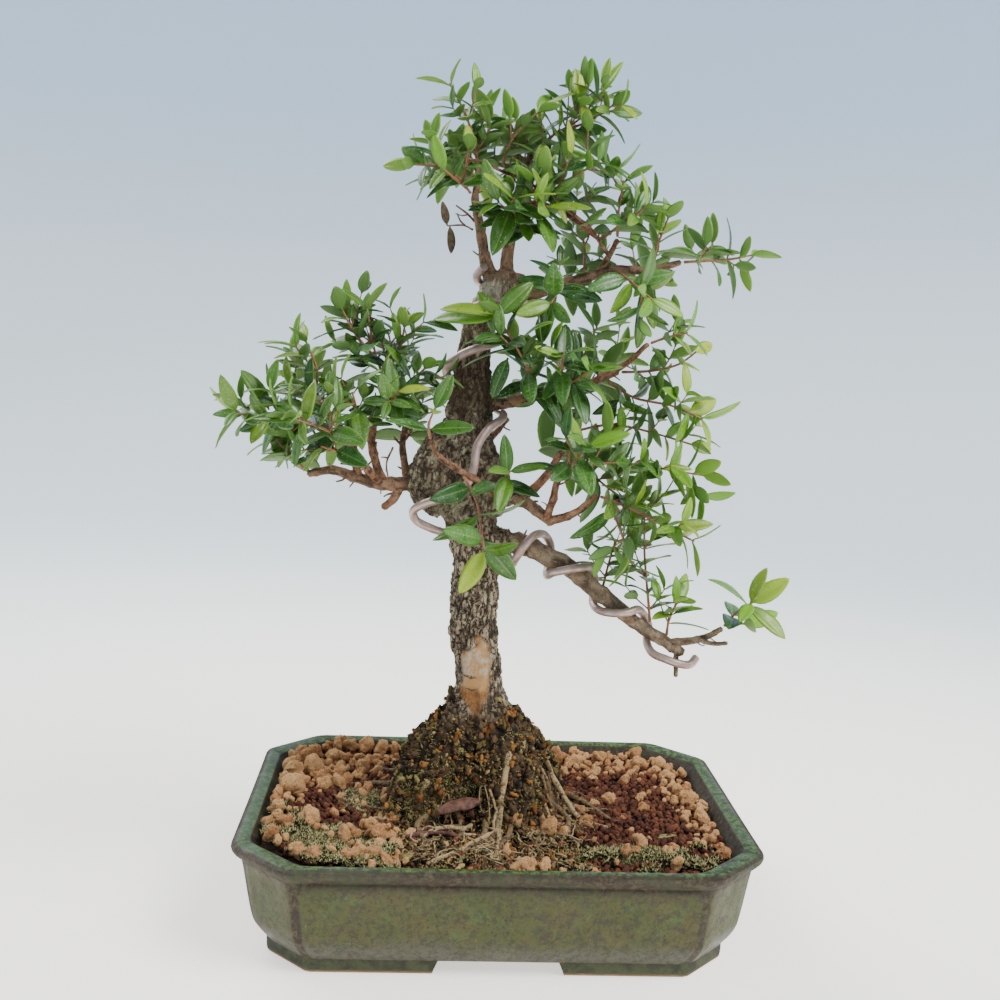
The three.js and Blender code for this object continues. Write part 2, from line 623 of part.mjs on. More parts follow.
// Leafy sprays: each a list of shoots with hand-set points; the first starts on a branch and the
// others on the first. Size scales the leaves.
const sprays = [
  ['spray_far_left', 1.1, [[[-67, -16, 188], [-83, -20, 188], [-99, -23, 187]]]],
  ['spray_left_top', 1, [
    [[-47, -4, 198], [-52, -7, 212], [-55, -9, 227]],
    [[-48, -5, 202], [-43, -8, 212], [-41, -9, 221]],
    [[-51, -6, 208], [-59, -8, 217], [-64, -9, 226]],
  ]],
  ['spray_left_top_back', 1, [[[-39, 24, 188], [-44, 22, 203], [-48, 20, 218]]]],
  ['spray_left_upper', 1, [[[-63, -14.6, 182], [-71, -15, 193], [-72, -16, 204], [-76, -17, 214]]]],
  ['spray_left_front', 1, [[[-62, -31, 181], [-68, -40, 185], [-76, -49, 188]]]],
  ['spray_left_low', 1, [
    [[-74, -16, 166], [-80, -17, 172], [-86, -20, 179]],
    [[-76, -16, 168], [-83, -12, 173], [-89, -10, 177]],
  ]],
  ['spray_left_hang', 1, [[[-56, -22, 173], [-62, -29, 176], [-68, -36, 178]]]],
  ['spray_left_back', 1.05, [
    [[-69, 25, 185], [-78, 30, 194], [-82, 35, 203]],
    [[-71, 26, 187], [-84, 34, 185], [-94, 39, 187]],
  ]],
  ['spray_left_back_in', 1, [[[-41, 12, 176], [-38, 28, 180], [-40, 38, 190], [-44, 45, 199]]]],
  ['spray_left_inner', 0.95, [
    [[-50.5, -6.5, 187], [-46, -18, 192], [-42, -28, 198]],
    [[-48.5, -11, 189], [-41, -13, 198], [-33, -15, 206]],
  ]],
  ['spray_left_middle', 1, [[[-61, -14, 180], [-57, -23, 189], [-58, -32, 197]]]],
  ['spray_left_low_back', 1, [[[-60, 11, 174], [-69, 24, 177], [-78, 36, 180]]]],
  ['spray_apex_left', 0.95, [
    [[-17, -2, 268], [-24, -6, 275], [-32, -9, 278], [-40, -12, 278]],
    [[-20, -4, 271.5], [-25, -12, 274], [-29, -18, 276]],
  ]],
  ['spray_apex_left_back', 0.95, [
    [[-16.5, -1, 274], [-22, 10, 278], [-29, 20, 284]],
    [[-17, 3, 276], [-15, 18, 283], [-18, 28, 289]],
  ]],
  ['spray_apex_top_left', 0.9, [
    [[-16.5, 0, 279], [-18.5, -1, 290], [-23, -3, 300], [-28, -4, 308]],
    [[-17.5, 0, 284], [-13, 5, 293], [-14, 8, 301]],
  ]],
  ['spray_apex_top', 0.95, [[[-1, 1.2, 274], [-7, 0, 282], [-3, -3, 292], [5, -5, 300]]]],
  ['spray_apex_top_back', 0.95, [
    [[0.5, 1.4, 279], [-2, 12, 287], [-1, 22, 294]],
    [[-0.5, 8, 284], [8, 20, 288], [15, 29, 290]],
  ]],
  ['spray_apex_top_right', 1, [
    [[3, 2, 285], [11, 2, 293], [20, 4, 299], [27, 4, 308]],
    [[12, 3, 294], [23, 0, 298], [32, -3, 304]],
  ]],
  ['spray_apex_right', 1.05, [[[-1.5, 0.6, 269], [8, -5, 273], [18, -8, 277], [27, -10, 283]]]],
  ['spray_apex_right_low', 1, [[[15, 4, 266], [25, 8, 270], [33, 11, 277]]]],
  ['spray_apex_cross_tip', 1, [[[31, 4, 256], [38, 8, 262], [45, 12, 268]]]],
  ['spray_apex_front', 1.2, [[[-2.5, 0.2, 259], [-5, -12, 262], [-4, -22, 267]]]],
  ['spray_apex_front_low', 1.25, [[[-3.5, 0.6, 253], [3, -10, 262], [8, -19, 265]]]],
  ['spray_upper_up', 0.95, [
    [[36.5, 0, 256], [36, -3, 266], [37, -5, 277]],
    [[36, -2, 261], [41, -8, 264], [45, -12, 268]],
  ]],
  ['spray_upper_up_back', 0.95, [[[25, 2, 241.5], [26, 12, 252], [25, 18, 262]]]],
  ['spray_upper_middle', 1, [[[50, 2, 245.5], [52, 1, 255], [55, -1, 265]]]],
  ['spray_upper_tip', 1, [
    [[61, 2, 249], [71, 1, 250], [80, 0, 251], [88, 0, 253]],
    [[67, 1.5, 249.6], [71, 7, 253], [75, 11, 257]],
  ]],
  ['spray_upper_front', 1.1, [[[37, 2, 245], [42, -9, 240], [48, -18, 234]]]],
  ['spray_upper_front_in', 1, [[[14, 2, 238], [14, -10, 236], [11, -20, 231]]]],
  ['spray_upper_back', 1, [[[14, 2, 238], [19, 15, 240], [27, 28, 245]]]],
  ['spray_upper_back_out', 1, [[[43, 2, 245], [49, 14, 245], [55, 25, 244]]]],
  ['spray_middle_up', 1.05, [[[50, -2, 218], [57, -4, 221], [64, -6, 223]]]],
  ['spray_middle_out', 1.1, [[[40, 3, 207], [52, 1, 208], [62, -2, 211], [68, -4, 216]]]],
  ['spray_middle_top', 1, [[[20, 6, 197], [26, 6, 210], [31, 6, 223]]]],
  ['spray_middle_front', 1.05, [
    [[14, 5.5, 197], [20, -8, 202], [27, -20, 208]],
    [[17, -2, 199.5], [17, -13, 206], [16, -22, 213]],
  ]],
  ['spray_middle_back', 1, [[[30, 5, 202], [36, 20, 206], [45, 32, 213]]]],
  ['spray_middle_back_low', 1, [[[8, 5, 196.5], [14, 19, 193], [22, 32, 190]]]],
  ['spray_middle_low', 1.1, [[[35, 4, 204], [47, 2, 197.5], [60, -1, 195.5], [72, -5, 191]]]],
  ['spray_lower_up', 1, [[[25, 2, 184], [38, 2, 187], [53, 0, 185], [69, -3, 181]]]],
  ['spray_lower_out', 1.1, [[[24, -12, 172], [38, -15, 174], [54, -17, 173], [71, -18, 171]]]],
  ['spray_lower_front', 1.1, [[[17.5, -14, 167], [21, -24, 174], [26, -34, 182]]]],
  ['spray_lower_low', 1.1, [
    [[32, -16, 162], [44, -19, 158], [57, -21, 152], [68, -22, 147]],
    [[36, -17, 161], [41, -21, 149], [45, -22, 138]],
  ]],
  ['spray_lower_back', 1, [
    [[19, 0, 175], [31, 13, 173], [42, 25, 170]],
    [[25, 7, 174], [38, 12, 163], [50, 16, 155]],
  ]],
  ['spray_branch_up', 1, [[[57, -7, 108], [55, -5, 124], [53, -4, 140], [52, -5, 156]]]],
  ['spray_branch_up_in', 1, [[[37, -6, 122.5], [40, 2, 131], [43, 5, 142]]]],
  ['spray_branch_middle', 1, [[[63, -7, 104.5], [64, -5, 114], [67, -6, 121]]]],
  ['spray_branch_tip', 1.25, [
    [[84, -8, 111], [88, -9.5, 117], [91, -14, 121.5], [92, -19, 124]],
    [[86, -8, 113], [92, -11, 114]],
  ]],
  ['spray_front_star', 1.25, [[[-19, -23, 170], [-13, -28, 160], [-11, -34, 150], [-10, -43, 144]]]],
  ['spray_front_middle', 1.05, [[[-9, -17, 164], [-4, -26, 167], [-2, -36, 172]]]],
  ['spray_front_left', 1, [[[-30, -28, 181], [-31, -34, 187], [-29, -39, 193]]]],
  ['spray_trunk_front', 1.2, [[[5, 4.4, 195.7], [6, -8, 203], [1, -15, 213], [-8, -17, 226]]]],
];

function fits(samples, owner) {
  return samples.every(({ p, t }) => {
    const wooden = capsules.some((c) => {
      if (c.owner === owner && t < 0.45) return false;
      const near = nearest(c, p);
      return near.point.distanceTo(p) < near.radius + CLEAR.wood;
    });
    if (wooden) return false;
    return !bladePoints.some((q) => {
      if (q.owner === owner && (t < 0.45 || q.t < 0.45)) return false;
      return q.p.distanceTo(p) < (q.owner === owner ? CLEAR.own : CLEAR.other);
    });
  });
}

// A blade's point at a station along it and across it, from -1 to 1 over its width there
function bladeWidth(t) {
  return Math.sin(Math.PI * Math.pow(t, 0.92)) ** 0.62;
}

function bladePoint(leaf, t, across) {
  const side = leaf.axis.clone().cross(leaf.normal);
  const half = leaf.length * LEAF.halfWidth * bladeWidth(t) * across;
  return leaf.base.clone()
    .addScaledVector(leaf.axis, leaf.length * t)
    .addScaledVector(side, half)
    .addScaledVector(leaf.normal, LEAF.fold * Math.abs(half) - LEAF.droop * leaf.length * t * t);
}

function bladeSamples(leaf) {
  return STATIONS.flatMap((t) => (t < 1 ? [-0.8, 0, 0.8] : [0]).map((across) => ({
    p: bladePoint(leaf, t, across), t,
  })));
}

// Directions across a shoot: the facet of a square ring faces out, the blade leans towards the tip
function leafAt(spot, out, angle, length) {
  const { point, tangent } = spot;
  const b = THREE.MathUtils.degToRad(angle);
  const axis = tangent.clone().multiplyScalar(Math.cos(b)).addScaledVector(out, Math.sin(b)).normalize();
  const normal = tangent.clone().multiplyScalar(Math.sin(b)).addScaledVector(out, -Math.cos(b));
  normal.z += UPWARD;
  normal.addScaledVector(axis, -normal.dot(axis)).normalize();
  return { base: point, axis, normal, length };
}

// Frames carried along a line without twist
function framesAlong(line, stops) {
  const first = along(line, 0).tangent;
  const level = new THREE.Vector3(0, 0, 1).cross(first);
  let side = Math.abs(first.z) > 0.85 ? new THREE.Vector3(1, 0, 0) : level;
  return stops.map((s) => {
    const spot = along(line, s);
    side = side.clone().addScaledVector(spot.tangent, -side.dot(spot.tangent)).normalize();
    return { ...spot, side, up: spot.tangent.clone().cross(side) };
  });
}

const around = (frame, degrees) => {
  const a = THREE.MathUtils.degToRad(degrees);
  return frame.side.clone().multiplyScalar(Math.cos(a)).addScaledVector(frame.up, Math.sin(a));
};

// A shoot grown as one closed skin: square rings along its line, and where a leaf stands the facet
// between two rings opens into its blade
function shootSolid(line, pairs) {
  const total = lineLength(line);
  const bearing = pairs.filter((pair) => pair.leaves.length > 0);
  const stops = [0, ...bearing.flatMap(({ s }) => [s - TWIG.nodeHalf, s + TWIG.nodeHalf]), total];
  const frames = framesAlong(line, stops);
  const points = frames.flatMap((frame, i) => {
    const r = TWIG.start + (TWIG.end - TWIG.start) * (stops[i] / total);
    return [0, 1, 2, 3].map((k) => frame.point.clone().addScaledVector(around(frame, 90 * k - 45), r));
  });
  const startMiddle = points.push(line[0].clone()) - 1;
  const end = frames[frames.length - 1];
  const tip = points.push(end.point.clone().addScaledVector(end.tangent, TWIG.end)) - 1;
  const triangles = [];
  const open = new Map();
  bearing.forEach(({ leaves }, i) => {
    leaves.forEach((leaf) => open.set(`${1 + 2 * i},${leaf.facet}`, leaf));
  });
  for (let j = 0; j < 4; j += 1) {
    const n = (j + 1) % 4;
    triangles.push([startMiddle, n, j]);
    for (let k = 0; k + 1 < stops.length; k += 1) {
      const [a0, a1, b0, b1] = [4 * k + j, 4 * k + n, 4 * k + 4 + j, 4 * k + 4 + n];
      const leaf = open.get(`${k},${j}`);
      if (leaf) {
        addBlade(points, triangles, leaf, [a0, a1, b0, b1]);
      } else {
        triangles.push([a0, a1, b1], [a0, b1, b0]);
      }
    }
    const last = 4 * (stops.length - 1);
    triangles.push([last + j, last + n, tip]);
  }
  return solid(indexed(points, triangles));
}

// A lens-shaped arched blade with a raised rib, grown from the four corners of its facet
function addBlade(points, triangles, leaf, [a0, a1, b0, b1]) {
  const rib = (by) => bladePoint(leaf, 0.48, 0).addScaledVector(leaf.normal, by);
  const start = points.length;
  points.push(
    bladePoint(leaf, 0.3, 1), bladePoint(leaf, 0.66, 1), bladePoint(leaf, 1, 0),
    bladePoint(leaf, 0.66, -1), bladePoint(leaf, 0.3, -1), rib(LEAF.rib), rib(-LEAF.rib),
  );
  const [l1, l2, tip, r2, r1, top, under] = [0, 1, 2, 3, 4, 5, 6].map((k) => start + k);
  const rim = [b0, l1, l2, tip, r2, r1, b1];
  rim.forEach((p, k) => triangles.push([p, rim[(k + 1) % rim.length], top]));
  const keel = [a0, l1, l2, tip, r2, r1, a1];
  keel.forEach((p, k) => triangles.push([p, under, keel[(k + 1) % keel.length]]));
  triangles.push([a0, l1, b0], [a1, b1, r1]);
}

// The first place along a shoot whose cut end is clear of the branch that it grows from
function clearStart(line) {
  const wood = capsules.filter((c) => c.owner === 'trunk' || c.owner === 'core');
  for (let s = 0; s < lineLength(line); s += 0.1) {
    const { point, tangent } = along(line, s);
    const free = wood.every((c) => {
      const near = nearest(c, point);
      const away = point.clone().sub(near.point);
      const distance = away.length();
      const lean = distance > 0 ? away.dot(tangent) / distance : 0;
      return distance - TWIG.start * Math.sqrt(Math.max(0, 1 - lean * lean)) > near.radius + CLEAR.seat;
    });
    if (free) return s;
  }
  return 0;
}

function cutLine(line, from) {
  const kept = [];
  let run = 0;
  line.forEach((p, i) => {
    if (i > 0) run += p.distanceTo(line[i - 1]);
    if (run > from + 0.8) kept.push(p);
  });
  return [along(line, from).point, ...kept];
}

function shootLines(shoots) {
  const lines = [];
  shoots.forEach((points, i) => {
    const marks = points.map(vec);
    if (i === 0) {
      const line = smooth(marks, 2);
      lines.push(cutLine(line, clearStart(line)));
      return;
    }
    const main = lines[0];
    let best = along(main, 0.6).point;
    for (let s = 0.6; s < lineLength(main) - 0.6; s += 0.2) {
      const { point } = along(main, s);
      if (point.distanceTo(marks[0]) < best.distanceTo(marks[0])) best = point;
    }
    lines.push(smooth([best, ...marks.slice(1)], 2));
  });
  return lines;
}

// Leaf pairs along a shoot, each pair crosswise to the one before; a leaf that finds no room is left out
function growPairs(name, size, line, next) {
  const total = lineLength(line);
  const stops = [];
  for (let s = FIRST_PAIR; s < total - 3.4; s += PAIR_SPACING * (0.9 + 0.2 * next())) stops.push(s);
  stops.push(total - 0.7);
  const frames = framesAlong(line, stops);
  return frames.map((frame, i) => {
    const reach = stops[i] / total;
    const last = i === frames.length - 1;
    const full = last ? 0.82 : 0.82 + 0.28 * Math.sin(Math.PI * reach);
    const lean = last ? 42 : 76 - 16 * reach;
    const leaves = [];
    [i % 2, (i % 2) + 2].forEach((facet) => {
      const length = LEAF.length * size * full * (0.86 + 0.28 * next());
      const turnBy = 24 * (next() - 0.5);
      const leanBy = 16 * (next() - 0.5);
      for (const [turn, lift, shrink] of TURNS) {
        const out = around(frame, 90 * facet + clamp(turnBy + turn, -40, 40));
        const leaf = leafAt(frame, out, clamp(lean + leanBy + lift, 24, 96), length * shrink);
        const samples = bladeSamples(leaf);
        if (fits(samples, name)) {
          samples.forEach(({ p, t }) => bladePoints.push({ p, t, owner: name }));
          leaves.push({ ...leaf, facet });
          break;
        }
      }
    });
    return { s: stops[i], leaves };
  });
}

function makeSprays() {
  addCapsules(wireLine, WIRE_RADIUS, WIRE_RADIUS, 'wire');
  const lines = sprays.map(([, , points]) => shootLines(points));
  lines.forEach((shoots, i) => {
    shoots.forEach((line) => addCapsules(line, TWIG.start, TWIG.end, sprays[i][0]));
  });
  return sprays.map(([name, size], i) => {
    const next = draws(100 + i);
    const shoots = lines[i].map((line) => shootSolid(line, growPairs(name, size, line, next)));
    return { name, shape: largest(joined(shoots)) };
  });
}

// Materials
function finish(color, roughness, metalness = 0) {
  return new THREE.MeshStandardMaterial({ color, roughness, metalness });
}
const glaze = finish(0x4d5c3a, 0.35);
const earth = finish(0x7a4a2a, 0.95);
const mossGreen = finish(0x6f7a45, 0.95);
const bark = finish(0x75614c, 0.85);
const aluminium = finish(0xb9a39b, 0.35, 0.9);
const foliage = finish(0x3f7a2c, 0.4);
const plastic = finish(0x1d1f1d, 0.6);

const bonsai = new THREE.Group();
bonsai.add(meshOf('pot', makePot(), glaze));
bonsai.add(meshOf('drain_mesh_left', meshPlate(-1, 0), plastic));
bonsai.add(meshOf('drain_mesh_right', meshPlate(1, 0), plastic));
bonsai.add(meshOf('soil', makeSoil(), earth));
for (const patch of mossPatches) bonsai.add(meshOf(patch.name, makeMoss(patch), mossGreen));
bonsai.add(meshOf('trunk', makeTrunk(), bark));
bonsai.add(meshOf('training_wire', wireTube(WIRE_RADIUS), aluminium));
for (const { name, shape } of makeSprays()) bonsai.add(meshOf(name, shape, foliage));

export default bonsai;
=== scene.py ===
"""Myrtle bonsai in an oblong glazed pot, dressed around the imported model. Sizes here are in millimetres."""
import json
import math
import bmesh
import bpy
import numpy as np
from mathutils import Matrix, Vector

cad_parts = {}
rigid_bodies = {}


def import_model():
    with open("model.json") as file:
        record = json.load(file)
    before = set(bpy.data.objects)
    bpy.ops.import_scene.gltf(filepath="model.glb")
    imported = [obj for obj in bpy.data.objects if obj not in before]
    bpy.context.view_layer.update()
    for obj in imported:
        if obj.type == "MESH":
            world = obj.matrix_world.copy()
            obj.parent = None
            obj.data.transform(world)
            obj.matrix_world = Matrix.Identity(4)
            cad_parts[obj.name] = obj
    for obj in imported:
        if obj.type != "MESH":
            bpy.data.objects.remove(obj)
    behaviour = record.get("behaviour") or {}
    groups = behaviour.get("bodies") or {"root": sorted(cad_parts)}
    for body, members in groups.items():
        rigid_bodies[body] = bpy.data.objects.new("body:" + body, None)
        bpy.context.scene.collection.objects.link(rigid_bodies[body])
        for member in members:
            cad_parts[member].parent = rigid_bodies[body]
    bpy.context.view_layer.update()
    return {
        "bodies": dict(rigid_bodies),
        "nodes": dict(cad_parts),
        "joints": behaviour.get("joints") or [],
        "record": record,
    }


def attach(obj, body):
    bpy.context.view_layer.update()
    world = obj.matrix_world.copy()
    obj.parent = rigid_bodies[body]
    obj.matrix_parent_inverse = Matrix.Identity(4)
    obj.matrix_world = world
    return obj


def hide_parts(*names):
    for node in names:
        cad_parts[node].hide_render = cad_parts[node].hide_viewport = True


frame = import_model()

bl_info = {
    "name": "Potted Myrtle Bonsai",
    "version": (1, 0, 0),
    "blender": (4, 5, 0),
    "location": "3D View > Sidebar > Bonsai",
    "description": "Builds a wired myrtle bonsai in an oblong glazed pot",
    "category": "Add Mesh",
}

MM = 0.001
UP = np.array([0.0, 0, 1])

# Sizes shared with the part's source: the pot's levels as half length, half width, corner cut and height
LIP = (95, 71.8, 20.5)
BODY = [(82.2, 63.7, 15.5, 3.7), (83, 64.5, 16, 4.9), (86.6, 66.8, 17.5, 9.5), (88.4, 67.8, 18.5, 15),
        (91.5, 69, 19.9, 33)]
INSIDE_LOW = (76, 57, 14)
INSIDE_TOP = (87.5, 64.3, 19.4)
FOOT = (82, 63.6, 15.4)
CUT_PER_INSET = 2 - math.sqrt(2)
POT_TOP = 39
LIP_DEPTH = 5.6
RIM_WIDTH = 6.6
RIM_CUT = 19.9
FOOT_HEIGHT = 3.7
STAND = 1.4
FOOT_WIDTH = 9
FOOT_GAP = (20.5, 17)
FLOOR_TOP = 9
DRAIN_X = 38
MESH_SIDE = 24
MESH_THICK = 1
GAP = 0.3
SOIL_EDGE = 34
SOIL_MARGIN = 0.8
MOUND = (-9, -2, 11, 38, 30)
BANK = (2.6, 28, 76)
WIRE_STANDOFF = 0.35
WIRE_RADIUS = 1.6
TWIG = (0.8, 0.5)
LEAF_LENGTH = 15.4
LEAF_HALF = 0.205
LEAF_FOLD = 0.13
LEAF_DROOP = 0.2
PAIR_SPACING = 11.4
FIRST_PAIR = 4.6
UPWARD = 0.65

# The stage in metres: flat floor, its curve upwards and the wall
FLAT_FLOOR = 0.9
COVE = 0.8
WALL = 1.5

# The camera: place, then degrees down, to the right and of roll
CAMERA_PLACE = (-30.88, -468.5, 221.19)
CAMERA_TURNS = (7.648, 3.423, 2.548)

# The trunk, level by level: height, middle, half widths and how strongly the roots flute it
TRUNK_LEVELS = [
    (30, -9, -4, 37, 31, 0.2), (38, -9, -4, 34, 28, 0.2), (46, -8.5, -3, 32, 26, 0.17),
    (54, -8, -2, 29.5, 23.5, 0.15), (62, -8, -1, 25, 20, 0.14), (69, -7.2, -0.5, 19.4, 16.6, 0.12),
    (75, -7.6, 0, 13.8, 12.8, 0.1), (83, -7.6, 0, 9.6, 9.7, 0.07), (94, -9, 0, 9.1, 9, 0.05),
    (106, -11, 0, 9.4, 9, 0.04), (120, -11, 0, 9, 8.8, 0.04), (134, -11.5, 0, 8.7, 8.6, 0.05),
    (148, -14, 0, 9.8, 9.4, 0.05), (162, -16, 0, 12, 11, 0.05), (176, -17.5, 0, 11.5, 10.5, 0.05),
    (188, -16.3, 0, 9, 8.8, 0.05), (200, -15.8, 0, 7.9, 7.7, 0.05), (212, -15.2, 0, 6.7, 6.6, 0.05),
    (222, -13.5, 0, 5.9, 6, 0.05), (230, -9.5, 0, 7, 6.9, 0.06), (237, -5.8, 0, 8.3, 7.6, 0.08),
    (242, -5, 0, 7.2, 6.6, 0.1),
]

# Branches: middle line, then the radius at each end
LIMBS = {
    "left": [[[-24, 0, 164.5], [-34, -1, 162.5], [-46, -5, 161.7], [-56, -10, 164.2], [-65, -14, 167.4],
         [-74, -16, 166]], 3.6, 1.4],
    "left_snag": [[[-41, -3, 162], [-43, -4, 157], [-47, -5, 153]], 2.2, 1.3],
    "left_up": [[[-47, -5, 162], [-52, -8, 178], [-50, -6, 190], [-47, -4, 198]], 1.9, 1.2],
    "left_up_out": [[[-56, -10, 164.5], [-61, -14, 179], [-67, -16, 188]], 1.7, 1.1],
    "left_back_in": [[[-38, -2, 162], [-41, 12, 175], [-39, 24, 188]], 1.8, 1.1],
    "left_back_out": [[[-50, -7, 163], [-60, 11, 174], [-69, 25, 185]], 1.8, 1.1],
    "left_front": [[[-48, -6, 162], [-56, -22, 173], [-62, -31, 181]], 1.6, 1.1],
    "apex_left": [[[-8, 0, 236], [-12, -2, 245], [-15, -3, 258], [-17, -2, 268], [-16.5, 0, 279]], 2.6, 1.2],
    "apex_right": [[[-4, 2, 236], [-4, 1, 249], [-2, 0, 263], [-1, 1, 274], [3, 2, 285]], 2.5, 1.2],
    "apex_cross": [[[-2, 0.5, 268], [4, 3, 268], [15, 4, 266], [31, 4, 256]], 1.3, 0.9],
    "upper_right": [[[-8, 2, 230], [3, 3, 233], [14, 2, 238], [25, 2, 241.5], [37, 2, 245], [50, 2, 245.5],
         [61, 2, 249]], 3, 1.2],
    "upper_right_up": [[[30, 2, 243], [34, 2, 250], [36.5, 0, 256]], 1.4, 1],
    "middle_right": [[[-12, 1, 192], [-1, 3, 194], [8, 5, 196.5], [20, 6, 197], [30, 5, 202],
         [40, 3, 207]], 2.6, 1.2],
    "middle_right_up": [[[29, 5, 201.5], [42, 1, 210], [50, -2, 218]], 1.5, 1],
    "lower_right": [[[-6, -5, 158], [4, -9, 158.5], [10, -12, 155], [16, -14, 151]], 3, 2],
    "lower_right_up": [[[14, -13.5, 152], [16, -14, 159], [17.5, -14, 167], [24, -12, 172]], 1.8, 1.1],
    "lower_right_out": [[[15, -14, 151.5], [24, -16, 155], [32, -16, 162]], 1.9, 1.1],
    "lower_right_back": [[[4, -9, 158.5], [13, -4, 166], [19, 0, 175], [25, 2, 184]], 2, 1.1],
    "wired": [[[-9, 0, 141.4], [-1, -1, 140.8], [9, -3, 139], [23, -5, 132.6], [37, -6, 122.5],
         [52, -7, 111.4], [62, -7, 104.9], [69, -7.5, 101]], 5, 2.1],
    "wired_tip": [[[63, -7, 104.5], [71, -7, 105.5], [78, -8, 107.5], [84, -8, 111]], 1.9, 1.2],
    "wired_fork": [[[75, -7.8, 107], [81, -9.5, 105.5], [86, -10, 106]], 1.2, 0.8],
    "front_twig": [[[-4, -7, 158], [-9, -17, 164], [-19, -23, 170], [-27, -26, 175],
         [-30, -28, 181]], 1.6, 0.9],
    "burl_back": [[[-16, 6, 168], [-15, 17, 171], [-16, 24, 176]], 1.8, 1.1],
    "burl_back_right": [[[-10, 4, 178], [-5, 14, 181], [0, 23, 186]], 1.7, 1.1],
    "trunk_back": [[[-15, 3, 204], [-15, 12, 208], [-17, 20, 213]], 1.6, 1],
    "wired_stub": [[[67, -7.4, 101.8], [67.3, -7.4, 97], [67.6, -7.5, 91.8]], 1.2, 0.9],
}

# Surface roots: places on the ground, then the radius at each end
SURFACE_ROOTS = [
    [[[-22, -22], [-30, -32], [-27, -43], [-36, -50]], 3.4, 1.2],
    [[[-4, -24], [-6, -37], [-12, -46], [-15, -55]], 2.8, 1],
    [[[6, -22], [4, -34], [0, -44], [4, -53]], 2.6, 0.9],
    [[[14, -18], [17, -30], [13, -40], [20, -48]], 2.6, 0.9],
    [[[20, -10], [27, -21], [26, -31], [31, -37]], 2.8, 0.9],
    [[[24, 2], [36, -3], [43, -12], [50, -14]], 3, 0.9],
    [[[-40, 4], [-50, 10], [-60, 12]], 3.2, 1.1],
    [[[-30, 20], [-40, 28], [-48, 38]], 3, 1],
]

# The wire's middle line, from the trunk's top to the end of the low branch
WIRE_ROUTE = [
    [-13, -7, 243.5], [-14.6, -1.5, 240], [-12, 7, 237.5], [-4, 10.2, 235.5], [4.6, 6.5, 233.5],
    [4.8, -3.5, 230.8], [-2, -9.4, 231], [-9.5, -9, 230.6], [-17, -5.5, 228.3], [-20, 1, 225],
    [-16.5, 8.6, 222], [-9, 8.4, 219.3], [-5.8, 2.5, 217.2], [-7.5, -5.5, 216], [-13.5, -9, 214.2],
    [-20.5, -7.6, 210.8], [-25, -2.4, 206.5], [-23.8, 5.4, 202], [-17.5, 10.4, 197.5], [-9.5, 9.2, 193],
    [-3.6, 4.4, 190.4], [-3.8, -4.6, 188], [-9, -10.6, 184.5], [-13, -13.6, 178], [-14, -15.4, 169.5],
    [-16.5, -15.6, 164], [-23.5, -16.2, 159.5], [-31.5, -14.6, 156.3], [-35.5, -11.4, 153],
    [-34.5, -9.4, 149.3], [-29, -8.6, 146.4], [-23.4, -3.8, 144.4], [-20.8, 4.8, 143], [-14, 11.2, 141.6],
    [-5.4, 10.6, 139.6], [0.4, 5.6, 135.8], [2.8, -1.5, 132.8], [3.6, -7.4, 135.6], [6.4, -9.6, 141],
    [10.4, -7, 144.8], [14.6, -1.8, 144.2], [17.6, 2, 139.2], [17.2, 0.4, 133], [16.4, -4.6, 129.8],
    [18, -9.6, 131.2], [23, -11.2, 132.8], [28.2, -9.6, 133.4], [31.8, -5.6, 132.6], [34.6, -0.8, 128.9],
    [35.4, 0.2, 123.7], [34.4, -3.2, 118.9], [36.2, -8.6, 117.1], [41, -11.8, 116.8], [46.6, -11.8, 117.2],
    [50.6, -8.6, 117.6], [54, -3.8, 115], [56.8, -1.8, 110], [56.2, -3.6, 104], [57.8, -8, 100.8],
    [62.4, -11.2, 99.4], [67.6, -12.4, 98], [72, -11, 97.6], [74.6, -8.6, 99.6],
]

